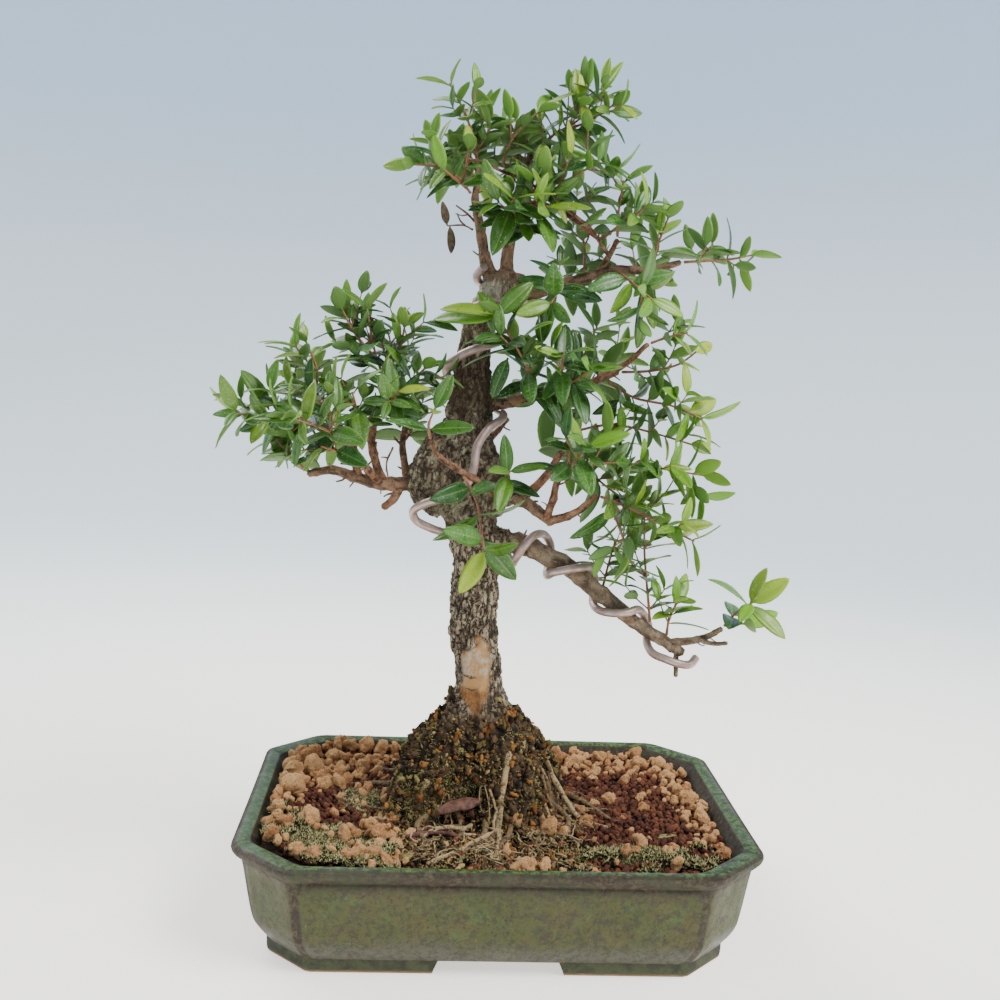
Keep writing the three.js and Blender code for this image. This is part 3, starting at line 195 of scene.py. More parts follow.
# Sprays: node, size of leaves, then the middle line of each shoot
SPRAYS = [
    ["spray_far_left", 1.1, [[[-67, -16, 188], [-83, -20, 188], [-99, -23, 187]]]],
    ["spray_left_top", 1, [
        [[-47, -4, 198], [-52, -7, 212], [-55, -9, 227]],
        [[-48, -5, 202], [-43, -8, 212], [-41, -9, 221]],
        [[-51, -6, 208], [-59, -8, 217], [-64, -9, 226]]]],
    ["spray_left_top_back", 1, [[[-39, 24, 188], [-44, 22, 203], [-48, 20, 218]]]],
    ["spray_left_upper", 1, [[[-63, -14.6, 182], [-71, -15, 193], [-72, -16, 204], [-76, -17, 214]]]],
    ["spray_left_front", 1, [[[-62, -31, 181], [-68, -40, 185], [-76, -49, 188]]]],
    ["spray_left_low", 1, [
        [[-74, -16, 166], [-80, -17, 172], [-86, -20, 179]],
        [[-76, -16, 168], [-83, -12, 173], [-89, -10, 177]]]],
    ["spray_left_hang", 1, [[[-56, -22, 173], [-62, -29, 176], [-68, -36, 178]]]],
    ["spray_left_back", 1.05, [
        [[-69, 25, 185], [-78, 30, 194], [-82, 35, 203]],
        [[-71, 26, 187], [-84, 34, 185], [-94, 39, 187]]]],
    ["spray_left_back_in", 1, [[[-41, 12, 176], [-38, 28, 180], [-40, 38, 190], [-44, 45, 199]]]],
    ["spray_left_inner", 0.95, [
        [[-50.5, -6.5, 187], [-46, -18, 192], [-42, -28, 198]],
        [[-48.5, -11, 189], [-41, -13, 198], [-33, -15, 206]]]],
    ["spray_left_middle", 1, [[[-61, -14, 180], [-57, -23, 189], [-58, -32, 197]]]],
    ["spray_left_low_back", 1, [[[-60, 11, 174], [-69, 24, 177], [-78, 36, 180]]]],
    ["spray_apex_left", 0.95, [
        [[-17, -2, 268], [-24, -6, 275], [-32, -9, 278], [-40, -12, 278]],
        [[-20, -4, 271.5], [-25, -12, 274], [-29, -18, 276]]]],
    ["spray_apex_left_back", 0.95, [
        [[-16.5, -1, 274], [-22, 10, 278], [-29, 20, 284]],
        [[-17, 3, 276], [-15, 18, 283], [-18, 28, 289]]]],
    ["spray_apex_top_left", 0.9, [
        [[-16.5, 0, 279], [-18.5, -1, 290], [-23, -3, 300], [-28, -4, 308]],
        [[-17.5, 0, 284], [-13, 5, 293], [-14, 8, 301]]]],
    ["spray_apex_top", 0.95, [[[-1, 1.2, 274], [-7, 0, 282], [-3, -3, 292], [5, -5, 300]]]],
    ["spray_apex_top_back", 0.95, [
        [[0.5, 1.4, 279], [-2, 12, 287], [-1, 22, 294]],
        [[-0.5, 8, 284], [8, 20, 288], [15, 29, 290]]]],
    ["spray_apex_top_right", 1, [
        [[3, 2, 285], [11, 2, 293], [20, 4, 299], [27, 4, 308]],
        [[12, 3, 294], [23, 0, 298], [32, -3, 304]]]],
    ["spray_apex_right", 1.05, [[[-1.5, 0.6, 269], [8, -5, 273], [18, -8, 277], [27, -10, 283]]]],
    ["spray_apex_right_low", 1, [[[15, 4, 266], [25, 8, 270], [33, 11, 277]]]],
    ["spray_apex_cross_tip", 1, [[[31, 4, 256], [38, 8, 262], [45, 12, 268]]]],
    ["spray_apex_front", 1.2, [[[-2.5, 0.2, 259], [-5, -12, 262], [-4, -22, 267]]]],
    ["spray_apex_front_low", 1.25, [[[-3.5, 0.6, 253], [3, -10, 262], [8, -19, 265]]]],
    ["spray_upper_up", 0.95, [
        [[36.5, 0, 256], [36, -3, 266], [37, -5, 277]],
        [[36, -2, 261], [41, -8, 264], [45, -12, 268]]]],
    ["spray_upper_up_back", 0.95, [[[25, 2, 241.5], [26, 12, 252], [25, 18, 262]]]],
    ["spray_upper_middle", 1, [[[50, 2, 245.5], [52, 1, 255], [55, -1, 265]]]],
    ["spray_upper_tip", 1, [
        [[61, 2, 249], [71, 1, 250], [80, 0, 251], [88, 0, 253]],
        [[67, 1.5, 249.6], [71, 7, 253], [75, 11, 257]]]],
    ["spray_upper_front", 1.1, [[[37, 2, 245], [42, -9, 240], [48, -18, 234]]]],
    ["spray_upper_front_in", 1, [[[14, 2, 238], [14, -10, 236], [11, -20, 231]]]],
    ["spray_upper_back", 1, [[[14, 2, 238], [19, 15, 240], [27, 28, 245]]]],
    ["spray_upper_back_out", 1, [[[43, 2, 245], [49, 14, 245], [55, 25, 244]]]],
    ["spray_middle_up", 1.05, [[[50, -2, 218], [57, -4, 221], [64, -6, 223]]]],
    ["spray_middle_out", 1.1, [[[40, 3, 207], [52, 1, 208], [62, -2, 211], [68, -4, 216]]]],
    ["spray_middle_top", 1, [[[20, 6, 197], [26, 6, 210], [31, 6, 223]]]],
    ["spray_middle_front", 1.05, [
        [[14, 5.5, 197], [20, -8, 202], [27, -20, 208]],
        [[17, -2, 199.5], [17, -13, 206], [16, -22, 213]]]],
    ["spray_middle_back", 1, [[[30, 5, 202], [36, 20, 206], [45, 32, 213]]]],
    ["spray_middle_back_low", 1, [[[8, 5, 196.5], [14, 19, 193], [22, 32, 190]]]],
    ["spray_middle_low", 1.1, [[[35, 4, 204], [47, 2, 197.5], [60, -1, 195.5], [72, -5, 191]]]],
    ["spray_lower_up", 1, [[[25, 2, 184], [38, 2, 187], [53, 0, 185], [69, -3, 181]]]],
    ["spray_lower_out", 1.1, [[[24, -12, 172], [38, -15, 174], [54, -17, 173], [71, -18, 171]]]],
    ["spray_lower_front", 1.1, [[[17.5, -14, 167], [21, -24, 174], [26, -34, 182]]]],
    ["spray_lower_low", 1.1, [
        [[32, -16, 162], [44, -19, 158], [57, -21, 152], [68, -22, 147]],
        [[36, -17, 161], [41, -21, 149], [45, -22, 138]]]],
    ["spray_lower_back", 1, [
        [[19, 0, 175], [31, 13, 173], [42, 25, 170]],
        [[25, 7, 174], [38, 12, 163], [50, 16, 155]]]],
    ["spray_branch_up", 1, [[[57, -7, 108], [55, -5, 124], [53, -4, 140], [52, -5, 156]]]],
    ["spray_branch_up_in", 1, [[[37, -6, 122.5], [40, 2, 131], [43, 5, 142]]]],
    ["spray_branch_middle", 1, [[[63, -7, 104.5], [64, -5, 114], [67, -6, 121]]]],
    ["spray_branch_tip", 1.25, [
        [[84, -8, 111], [88, -9.5, 117], [91, -14, 121.5], [92, -19, 124]],
        [[86, -8, 113], [92, -11, 114]]]],
    ["spray_front_star", 1.25, [[[-19, -23, 170], [-13, -28, 160], [-11, -34, 150], [-10, -43, 144]]]],
    ["spray_front_middle", 1.05, [[[-9, -17, 164], [-4, -26, 167], [-2, -36, 172]]]],
    ["spray_front_left", 1, [[[-30, -28, 181], [-31, -34, 187], [-29, -39, 193]]]],
    ["spray_trunk_front", 1.2, [[[5, 4.4, 195.7], [6, -8, 203], [1, -15, 213], [-8, -17, 226]]]],
]

# Sprays to the right stay open; those in front of the trunk and at the branch's end stay sparse
OPEN = ("spray_middle", "spray_lower", "spray_upper")
SPARSE = ("spray_front_star", "spray_front_middle", "spray_front_left", "spray_branch_tip")

MOSS = {
    "moss_front_left": (-62, -38, 17, 13, 2.2),
    "moss_front_right": (50, -44, 20, 8, 2),
    "moss_root_side": (-52, -4, 9, 13, 1.8),
}
# The foot of the root flare: middle and half sizes
FLARE = (-9, -4, 37, 31)
# The swelling: middle and half sizes of its lobes
BURL = [((-25.5, -1, 166), (12, 12, 16.5)), ((-9.5, -1.5, 163), (10.5, 12, 14.5)),
        ((-17, 3, 172), (13, 11, 13))]


# Repeatable numbers
class Draws:
    """A repeatable stream of numbers between 0 and 1"""

    def __init__(self, seed):
        self.state = seed & 0xFFFFFFFF

    def __call__(self):
        self.state = (self.state + 0x6D2B79F5) & 0xFFFFFFFF
        t = ((self.state ^ (self.state >> 15)) * (1 | self.state)) & 0xFFFFFFFF
        t = ((t + (((t ^ (t >> 7)) * (61 | t)) & 0xFFFFFFFF)) & 0xFFFFFFFF) ^ t
        return ((t ^ (t >> 14)) & 0xFFFFFFFF) / 4294967296

    def between(self, low, high):
        return low + (high - low) * self()

    def spread(self, count=3):
        """Numbers between -0.5 and 0.5, drawn one after the other"""
        return np.array([self() - 0.5 for _ in range(count)])


def hashed(cells, seed):
    """A number from 0 to 1 for each whole-number cell"""
    h = cells[..., 0] * 73856093 ^ cells[..., 1] * 19349663 ^ cells[..., 2] * 83492791 ^ (seed * 2654435)
    h = (h & 0x7FFFFFFF) * 48271 & 0x7FFFFFFF
    h = ((h >> 13) ^ h) * 69621 & 0x7FFFFFFF
    h = ((h >> 11) ^ h) * 40014 & 0x7FFFFFFF
    return ((h >> 7) & 0xFFFF) / 65535.0


def rough(points, size, seed=0, octaves=3, fade=0.5):
    """Smooth noise from about -1 to 1 over points, with finer and fainter layers"""
    total = np.zeros(len(points))
    strength, reach = 1.0, 0.0
    for octave in range(octaves):
        q = points / (size / 2 ** octave)
        base = np.floor(q).astype(np.int64)
        t = q - base
        t = t * t * (3 - 2 * t)
        layer = np.zeros(len(points))
        for dx in (0, 1):
            for dy in (0, 1):
                for dz in (0, 1):
                    weight = (np.abs(1 - dx - t[:, 0]) * np.abs(1 - dy - t[:, 1]) * np.abs(1 - dz - t[:, 2]))
                    layer += weight * hashed(base + np.array([dx, dy, dz]), seed + octave)
        total += strength * (layer * 2 - 1)
        reach += strength
        strength *= fade
    return total / reach


def drifted(points, size, seeds, octaves=2):
    """Smooth noise in three directions, one seed for each"""
    return np.stack([rough(points, size, seed, octaves) for seed in seeds], 1)


def cracks(points, size, seed=0):
    """Nearness to the border between scattered cells: 0 on a border, growing inwards"""
    q = points / size
    base = np.floor(q).astype(np.int64)
    first = np.full(len(points), 9.0)
    second = np.full(len(points), 9.0)
    for dx in (-1, 0, 1):
        for dy in (-1, 0, 1):
            for dz in (-1, 0, 1):
                cell = base + np.array([dx, dy, dz])
                seeds = np.stack([hashed(cell, seed + 11 * k) for k in (1, 2, 3)], 1)
                far = np.linalg.norm(cell + seeds - q, axis=1)
                closer = far < first
                second = np.where(closer, first, np.minimum(second, far))
                first = np.minimum(first, far)
    return second - first


# Lines and tubes
def unit(v):
    return v / max(1e-12, float(np.linalg.norm(v)))


def smooth(points, steps):
    """Catmull-Rom line through given points, each span cut into the same number of steps"""
    p = [np.array(q, float) for q in points]
    p = [2 * p[0] - p[1]] + p + [2 * p[-1] - p[-2]]
    line = []
    for i in range(1, len(p) - 2):
        for k in range(steps):
            t = k / steps
            line.append((-0.5 * t + t * t - 0.5 * t ** 3) * p[i - 1] + (1 - 2.5 * t * t + 1.5 * t ** 3) * p[i]
                        + (0.5 * t + 2 * t * t - 1.5 * t ** 3) * p[i + 1] + (-0.5 * t * t + 0.5 * t ** 3) * p[i + 2])
    return np.array(line + [p[-2]])


def runs(line):
    """How far along a line each of its points lies"""
    return np.concatenate([[0], np.cumsum(np.linalg.norm(np.diff(line, axis=0), axis=1))])


def line_length(line):
    return float(np.linalg.norm(np.diff(line, axis=0), axis=1).sum())


def along(line, distance):
    """Point and direction at a distance along a line"""
    left = max(0.0, distance)
    for i in range(len(line) - 1):
        span = float(np.linalg.norm(line[i + 1] - line[i]))
        if left <= span or i + 2 == len(line):
            t = left / span if span > 0 else 0
            return line[i] + (line[i + 1] - line[i]) * t, unit(line[i + 1] - line[i])
        left -= span


def transport(line):
    """Side and up directions carried along a line without twist"""
    tangents = np.gradient(line, axis=0)
    steep = abs(tangents[0][2]) > 0.85 * np.linalg.norm(tangents[0])
    side = np.array([1.0, 0, 0]) if steep else UP
    sides, ups = [], []
    for tangent in tangents:
        tangent = unit(tangent)
        side = unit(side - tangent * side.dot(tangent))
        sides.append(side)
        ups.append(np.cross(tangent, side))
    return np.array(sides), np.array(ups)


def ring_faces(rings, sides, start=0):
    """Quads between rings of the same number of points"""
    k = np.arange(rings - 1)[:, None] * sides + start
    i = np.arange(sides)[None, :]
    j = (i + 1) % sides
    return np.stack([k + i, k + j, k + sides + j, k + sides + i], -1).reshape(-1, 4)


def fan(ring, middle, turned=False):
    """Triangles from a ring of point numbers to a middle point"""
    after = np.roll(ring, -1)
    pair = (after, ring) if turned else (ring, after)
    return np.stack([pair[0], pair[1], np.full(len(ring), middle)], -1)


def stacked(rings, bottom=None, top=None):
    """A closed skin over rings, capped by a middle point at each end"""
    rings = np.asarray(rings, float)
    count, sides = rings.shape[:2]
    bottom = rings[0].mean(0) if bottom is None else np.array(bottom, float)
    top = rings[-1].mean(0) if top is None else np.array(top, float)
    points = np.concatenate([rings.reshape(-1, 3), [bottom, top]])
    faces = [ring_faces(count, sides), fan(np.arange(sides), count * sides, True),
             fan(np.arange(sides) + (count - 1) * sides, count * sides + 1)]
    return points, faces


def spokes(side, up, sides):
    """Ways outward all round each point of a line"""
    angle = 2 * np.pi * np.arange(sides) / sides
    return side[:, None, :] * np.cos(angle)[None, :, None] + up[:, None, :] * np.sin(angle)[None, :, None]


def tube(line, radii, sides):
    """A round tube along a line; radii holds one number per point, or one per point and side"""
    line = np.asarray(line, float)
    radii = np.broadcast_to(np.asarray(radii, float).reshape(len(line), -1), (len(line), sides))
    side, up = transport(line)
    rings = line[:, None, :] + spokes(side, up, sides) * radii[:, :, None]
    end = line[-1] + unit(line[-1] - line[-2]) * radii[-1].mean() * 0.6
    start = line[0] - unit(line[1] - line[0]) * radii[0].mean() * 0.6
    return stacked(rings, start, end)


class Skin:
    """Gathers the points, faces and per-point values of one piece"""

    def __init__(self):
        self.blocks, self.count = [], 0

    def add(self, shape, finish=0, **values):
        points, faces = shape
        self.blocks.append((points, [f + self.count for f in faces], finish, values))
        self.count += len(points)

    def piece(self, name, finishes, nodes=(), crease=None):
        """Makes the object, which rides on the body and stands for its nodes"""
        points = (np.concatenate([b[0] for b in self.blocks]) + np.array([0, 0, STAND])) * MM
        faces = [(f, b[2]) for b in self.blocks for f in b[1] if len(f)]
        loops = np.concatenate([f.ravel() for f, _ in faces]).astype(np.int32)
        sizes = np.concatenate([np.full(len(f), f.shape[1]) for f, _ in faces])
        starts = np.concatenate([[0], np.cumsum(sizes)[:-1]]).astype(np.int32)
        picks = np.concatenate([np.full(len(f), k) for f, k in faces]).astype(np.int32)
        mesh = bpy.data.meshes.new(name)
        mesh.vertices.add(len(points))
        mesh.vertices.foreach_set("co", points.astype(np.float32).ravel())
        mesh.loops.add(len(loops))
        mesh.loops.foreach_set("vertex_index", loops)
        mesh.polygons.add(len(sizes))
        mesh.polygons.foreach_set("loop_start", starts)
        mesh.polygons.foreach_set("material_index", picks)
        mesh.polygons.foreach_set("use_smooth", np.ones(len(sizes), bool))
        for finish in finishes:
            mesh.materials.append(finish)
        for key in sorted({k for b in self.blocks for k in b[3]}):
            data = np.concatenate([np.broadcast_to(np.asarray(b[3].get(key, 0.0), float), len(b[0]))
                                   for b in self.blocks])
            mesh.attributes.new(key, "FLOAT", "POINT").data.foreach_set("value", data.astype(np.float32))
        mesh.update(calc_edges=True)
        if crease:
            mesh.set_sharp_from_angle(angle=math.radians(crease))
        made = bpy.data.objects.new(name, mesh)
        bpy.context.scene.collection.objects.link(made)
        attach(made, "root")
        if nodes:
            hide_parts(*nodes)
        return made


# Finishes
class Flow:
    """A socket of a finish that sums can be written with"""

    def __init__(self, finish, socket):
        self.finish, self.socket = finish, socket

    def _maths(self, operation, first, second):
        return self.finish.node("ShaderNodeMath", {"operation": operation}, {0: first, 1: second})

    def __add__(self, other):
        return self._maths("ADD", self, other)

    def __sub__(self, other):
        return self._maths("SUBTRACT", self, other)

    def __rsub__(self, other):
        return self._maths("SUBTRACT", other, self)

    def __mul__(self, other):
        return self._maths("MULTIPLY", self, other)

    def __pow__(self, other):
        return self._maths("POWER", self, other)

    def __abs__(self):
        return self._maths("ABSOLUTE", self, 0.0)

    __radd__ = __add__
    __rmul__ = __mul__

    def most(self, other):
        return self._maths("MAXIMUM", self, other)

    def least(self, other):
        return self._maths("MINIMUM", self, other)

    def wave(self):
        return self._maths("SINE", self, 0.0)


class Finish:
    """A material put together node by node around one shader"""

    def __init__(self, name, **constants):
        self.material = bpy.data.materials.new(name)
        self.material.use_nodes = True
        self.tree = self.material.node_tree
        self.shader = next(n for n in self.tree.nodes if n.type == "BSDF_PRINCIPLED")
        for key, value in constants.items():
            self.shader.inputs[key.replace("_", " ")].default_value = value
        self.place = self.node("ShaderNodeTexCoord", out="Object")

    def put(self, socket, value):
        if isinstance(value, Flow):
            self.tree.links.new(value.socket, socket)
        elif getattr(socket, "type", "") == "RGBA" and len(value) == 3:
            socket.default_value = (*value, 1)
        else:
            socket.default_value = value

    def node(self, kind, settings=None, sockets=None, out=0):
        made = self.tree.nodes.new(kind)
        for key, value in (settings or {}).items():
            if key == "stops":
                while len(made.color_ramp.elements) < len(value):
                    made.color_ramp.elements.new(1.0)
                for element, (position, colour) in zip(made.color_ramp.elements, value):
                    element.position, element.color = position, (*colour, 1)
            else:
                setattr(made, key, value)
        for key, value in (sockets or {}).items():
            self.put(made.inputs[key], value)
        return Flow(self, made.outputs[out])

    def value(self, name):
        return self.node("ShaderNodeAttribute", {"attribute_name": name}, out="Fac")

    def axes(self):
        parts = self.node("ShaderNodeSeparateXYZ", None, {0: self.place}).socket.node
        x, y, z = (Flow(self, parts.outputs[k]) for k in range(3))
        return x, y, z - STAND * MM

    def stretched(self, scale):
        return self.node("ShaderNodeVectorMath", {"operation": "MULTIPLY"}, {0: self.place, 1: scale})

    def warped(self, scale, amount, size_by):
        """The object's place, stretched and shifted by noise of a size"""
        noise = self.node("ShaderNodeTexNoise", None,
                          {"Vector": self.place, "Scale": size_by, "Detail": 3.0}, "Color")
        return self.node("ShaderNodeVectorMath", {"operation": "MULTIPLY_ADD"},
                         {0: noise, 1: (amount, amount, amount), 2: self.stretched(scale)})

    def grain(self, scale, detail=4.0, roughness=0.6, vector=None):
        return self.node("ShaderNodeTexNoise", None, {"Vector": vector or self.place, "Scale": scale,
                                                      "Detail": detail, "Roughness": roughness})

    def cells(self, scale, feature="F1", vector=None):
        return self.node("ShaderNodeTexVoronoi", {"feature": feature},
                         {"Vector": vector or self.place, "Scale": scale}, "Distance")

    def band(self, value, low, high, bottom=0.0, top=1.0):
        return self.node("ShaderNodeMapRange", {"interpolation_type": "SMOOTHSTEP"},
                         {"Value": value, "From Min": low, "From Max": high, "To Min": bottom, "To Max": top})

    def mix(self, first, second, share):
        return self.node("ShaderNodeMix", {"data_type": "RGBA"}, {0: share, 6: first, 7: second}, 2)

    def ramp(self, value, stops):
        return self.node("ShaderNodeValToRGB", {"stops": stops}, {0: value})

    def done(self, colour, roughness=None, height=None, depth=0.0005, strength=1.0):
        """Links colour and roughness, and a bump whose depth is in metres"""
        self.put(self.shader.inputs["Base Color"], colour)
        if roughness is not None:
            self.put(self.shader.inputs["Roughness"], roughness)
        if height is not None:
            bump = self.node("ShaderNodeBump", None,
                             {"Height": height, "Distance": depth, "Strength": strength})
            self.put(self.shader.inputs["Normal"], bump)
        return self.material


# What a user would change
def colour(name, description, rgb):
    return bpy.props.FloatVectorProperty(name=name, description=description, subtype="COLOR", size=3,
                                         min=0, max=1, default=rgb)


def size(name, description, millimetres):
    return bpy.props.FloatProperty(name=name, description=description, unit="LENGTH", precision=5,
                                   default=millimetres * MM)


class PotSettings(bpy.types.PropertyGroup):
    glaze: colour("Glaze", "Olive green of the pot's sides", (0.050, 0.062, 0.0125))
    khaki: colour("Khaki glaze", "Brown olive between the green", (0.076, 0.058, 0.018))
    bright: colour("Bright glaze", "Green that pools in blotches", (0.046, 0.105, 0.024))
    rim: colour("Rim glaze", "Yellow green on top of the rim", (0.110, 0.200, 0.030))
    iron: colour("Iron", "Purple brown where the glaze runs thin", (0.024, 0.016, 0.009))
    clay: colour("Clay", "Bare clay under the feet", (0.3, 0.17, 0.08))
    corner: size("Corner rounding", "How far each upright corner is rounded", 4.2)


class GroundSettings(bpy.types.PropertyGroup):
    tan: colour("Tan granules", "Colour of the larger clay granules", (0.60, 0.315, 0.125))
    red: colour("Red granules", "Colour of the small granules", (0.088, 0.028, 0.016))
    earth: colour("Earth", "Colour between the granules", (0.028, 0.014, 0.009))
    moss_tip: colour("Moss tips", "Dry grey green at the tips of the moss", (0.21, 0.20, 0.072))
    # Dark green at the base of the moss: the lower stems' own colour and painted shade inside the moss
    moss_base_and_shade: colour("Moss depth", "Dark green inside the moss", (0.016, 0.018, 0.008))
    small: size("Small granule", "Radius of a small granule", 1.25)
    large: size("Large granule", "Radius of a large granule", 3.1)


class WoodSettings(bpy.types.PropertyGroup):
    plate: colour("Bark plates", "Weathered face of the bark", (0.39, 0.30, 0.19))
    fissure: colour("Fissures", "Dark between the bark plates", (0.016, 0.011, 0.008))
    branch: colour("Branch bark", "Reddish bark of the branches", (0.22, 0.095, 0.045))
    young: colour("Young twigs", "Red brown of the leafy twigs", (0.23, 0.09, 0.045))
    root: colour("Roots", "Pale surface roots", (0.37, 0.25, 0.125))
    voxel: size("Trunk detail", "Size of the trunk's remeshed cells", 0.7)


class WireSettings(bpy.types.PropertyGroup):
    metal: colour("Wire", "Pinkish aluminium", (0.50, 0.365, 0.32))


class LeafSettings(bpy.types.PropertyGroup):
    old_dark: colour("Old leaf, dark", "Darkest mature leaf", (0.011, 0.050, 0.006))
    old_light: colour("Old leaf, light", "Lightest mature leaf", (0.048, 0.150, 0.014))
    new_green: colour("New leaf, green", "Fresh green of young leaves", (0.145, 0.33, 0.012))
    new_yellow: colour("New leaf, yellow", "Yellow green of shoot tips", (0.36, 0.42, 0.014))
    under: colour("Underside", "Paler green under a leaf", (0.13, 0.22, 0.065))
    thickness: size("Leaf thickness", "Thickness of a blade at its rib", 0.3)


class StageSettings(bpy.types.PropertyGroup):
    lens: bpy.props.FloatProperty(name="Lens", description="Focal length on a 36 mm sensor", default=44.73)
    floor: colour("Floor", "Pale warm floor", (0.90, 0.86, 0.78))
    middle: colour("Floor, far", "Paler floor further out", (0.76, 0.82, 0.82))
    wall: colour("Wall", "Pale blue wall behind", (0.50, 0.62, 0.78))
    glow: bpy.props.FloatProperty(name="Floor glow", description="Light given by floor and wall", default=1.15)
    high: colour("Sky, high", "Light from above", (0.80, 0.87, 0.96))
    low: colour("Sky, low", "Light from the horizon", (0.95, 0.95, 0.93))
    light: bpy.props.FloatProperty(name="Sky strength", description="Strength of the soft light", default=0.36)
    key: bpy.props.FloatProperty(name="Key light", description="Power of the soft box", unit="POWER", default=19)


SETTINGS = {"bonsai_pot": PotSettings, "bonsai_ground": GroundSettings, "bonsai_wood": WoodSettings,
            "bonsai_wire": WireSettings, "bonsai_leaf": LeafSettings, "bonsai_stage": StageSettings}


# The pot, with where the outline has points along a cut corner and along a side
CUT_STOPS = (0.12, 0.3, 0.5, 0.7, 0.88)
SIDE_STOPS = (0.04, 0.1, 0.2, 0.35, 0.5, 0.65, 0.8, 0.9, 0.96)


def eight_corners(x, y, cut):
    """The eight corners of an oblong with cut corners, from its half sizes"""
    return np.array([(x - cut, -y), (x, -y + cut), (x, y - cut), (x - cut, y),
                     (-x + cut, y), (-x, y - cut), (-x, -y + cut), (-x + cut, -y)], float)


def octagon(level, z, soft, steps=4):
    """Outline of the pot at a height, with rounded corners, and each point's distance from its corner"""
    raw = eight_corners(*level[:3])
    points, edges = [], []
    for i in range(8):
        here = raw[i]
        back, forth = unit(raw[i - 1] - here), unit(raw[(i + 1) % 8] - here)
        for k in range(steps + 1):
            t = k / steps
            points.append(here + back * soft * (1 - t) ** 2 + forth * soft * t * t)
            edges.append(abs(2 * t - 1) * soft * 0.5)
        side = np.linalg.norm(raw[(i + 1) % 8] - here)
        for t in CUT_STOPS if i % 2 == 0 else SIDE_STOPS:
            run = soft + (side - 2 * soft) * t
            points.append(here + forth * run)
            edges.append(min(run, side - run))
    return np.column_stack([np.array(points), np.full(len(points), z)]), np.array(edges)


def inset(level, by):
    return level[0] - by, level[1] - by, level[2] - by * CUT_PER_INSET


def rim_level(by):
    """Half sizes and cut on top of the rim, which is wider at the cut corners"""
    x, y, cut = inset(LIP, by)
    wider = RIM_CUT - LIP[2] + RIM_WIDTH * CUT_PER_INSET
    return x, y, cut + wider * max(0.0, (by - 2.5) / (RIM_WIDTH - 2.5))


def inner_level(z):
    """Half sizes of the pot's inside wall at a height"""
    t = (z - FLOOR_TOP) / (POT_TOP - 2 - FLOOR_TOP)
    return tuple(a + (b - a) * t for a, b in zip(INSIDE_LOW, INSIDE_TOP))


def pot_profile():
    """Levels from the foot joint up the outside, over the rim and down to the floor, each with its height,
    how much iron shows there and how much green pools there"""
    belly = smooth([list(level) for level in BODY], 4)
    low = POT_TOP - LIP_DEPTH
    levels = [(row[:3], row[3], 0.75 * (1 - k / 4) if k < 4 else 0.0, 0.0) for k, row in enumerate(belly[:-1])]
    levels += [
        (BODY[-1][:3], BODY[-1][3] - 0.9, 0.55, 0), (inset(LIP, 3.3), low - 0.3, 0.8, 0),
        (inset(LIP, 2.6), low + 0.6, 0.95, 0), (inset(LIP, 1.7), low + 1.3, 0.9, 0),
        (inset(LIP, 0.9), low + 2.1, 0.85, 0), (inset(LIP, 0.3), low + 3.0, 0.8, 0),
        (LIP, low + 4.0, 0.75, 0.05), (inset(LIP, 0.15), low + 4.9, 0.8, 0.1),
        (inset(LIP, 0.7), POT_TOP - 0.75, 0.9, 0.15), (inset(LIP, 1.5), POT_TOP - 0.25, 0.75, 0.4),
        (rim_level(2.5), POT_TOP, 0.3, 0.85), (rim_level(3.8), POT_TOP - 0.1, 0, 1),
        (rim_level(5.0), POT_TOP - 0.3, 0.1, 0.95), (rim_level(6.1), POT_TOP - 0.8, 0.6, 0.5),
        (rim_level(RIM_WIDTH), POT_TOP - 2, 0.9, 0.0),
    ]
    for z in (POT_TOP - 4, 28, 20, FLOOR_TOP + 3):
        levels.append((inner_level(z), z, 0.8, 0))
    levels.append((inset(inner_level(FLOOR_TOP), 2), FLOOR_TOP, 0.8, 0))
    return levels


def add_pot_body(skin, soft):
    rings, edge, iron, pool = [], [], [], []
    for level, z, much, green in pot_profile():
        ring, near = octagon(level, z, soft)
        rings.append(ring)
        edge.append(near)
        iron.append(np.full(len(ring), much))
        pool.append(np.full(len(ring), green))
    rings = np.array(rings)
    wobble = rough(rings.reshape(-1, 3), 46, 5, 2).reshape(rings.shape[:2])
    rings[:, :, :2] *= (1 + 0.0016 * wobble)[:, :, None]
    shape = stacked(rings, (0, 0, FOOT_HEIGHT), (0, 0, FLOOR_TOP))
    ends = np.array([0.0, 0.0])
    skin.add(shape, 0, edge=np.concatenate([np.concatenate(edge), ends + 40]),
             iron=np.concatenate([np.concatenate(iron), ends + 0.8]),
             pool=np.concatenate([np.concatenate(pool), ends]))


# A foot across its band: share of the width, height and how far its ends slope in there
FOOT_SHAPE = ((0, 6.4, 0), (0, 2.2, 0.7), (0.02, 0.7, 0.9), (0.09, 0, 1), (0.88, 0, 1), (0.97, 0.6, 0.9),
              (1, 1.8, 0.7), (1, 6.4, 0))


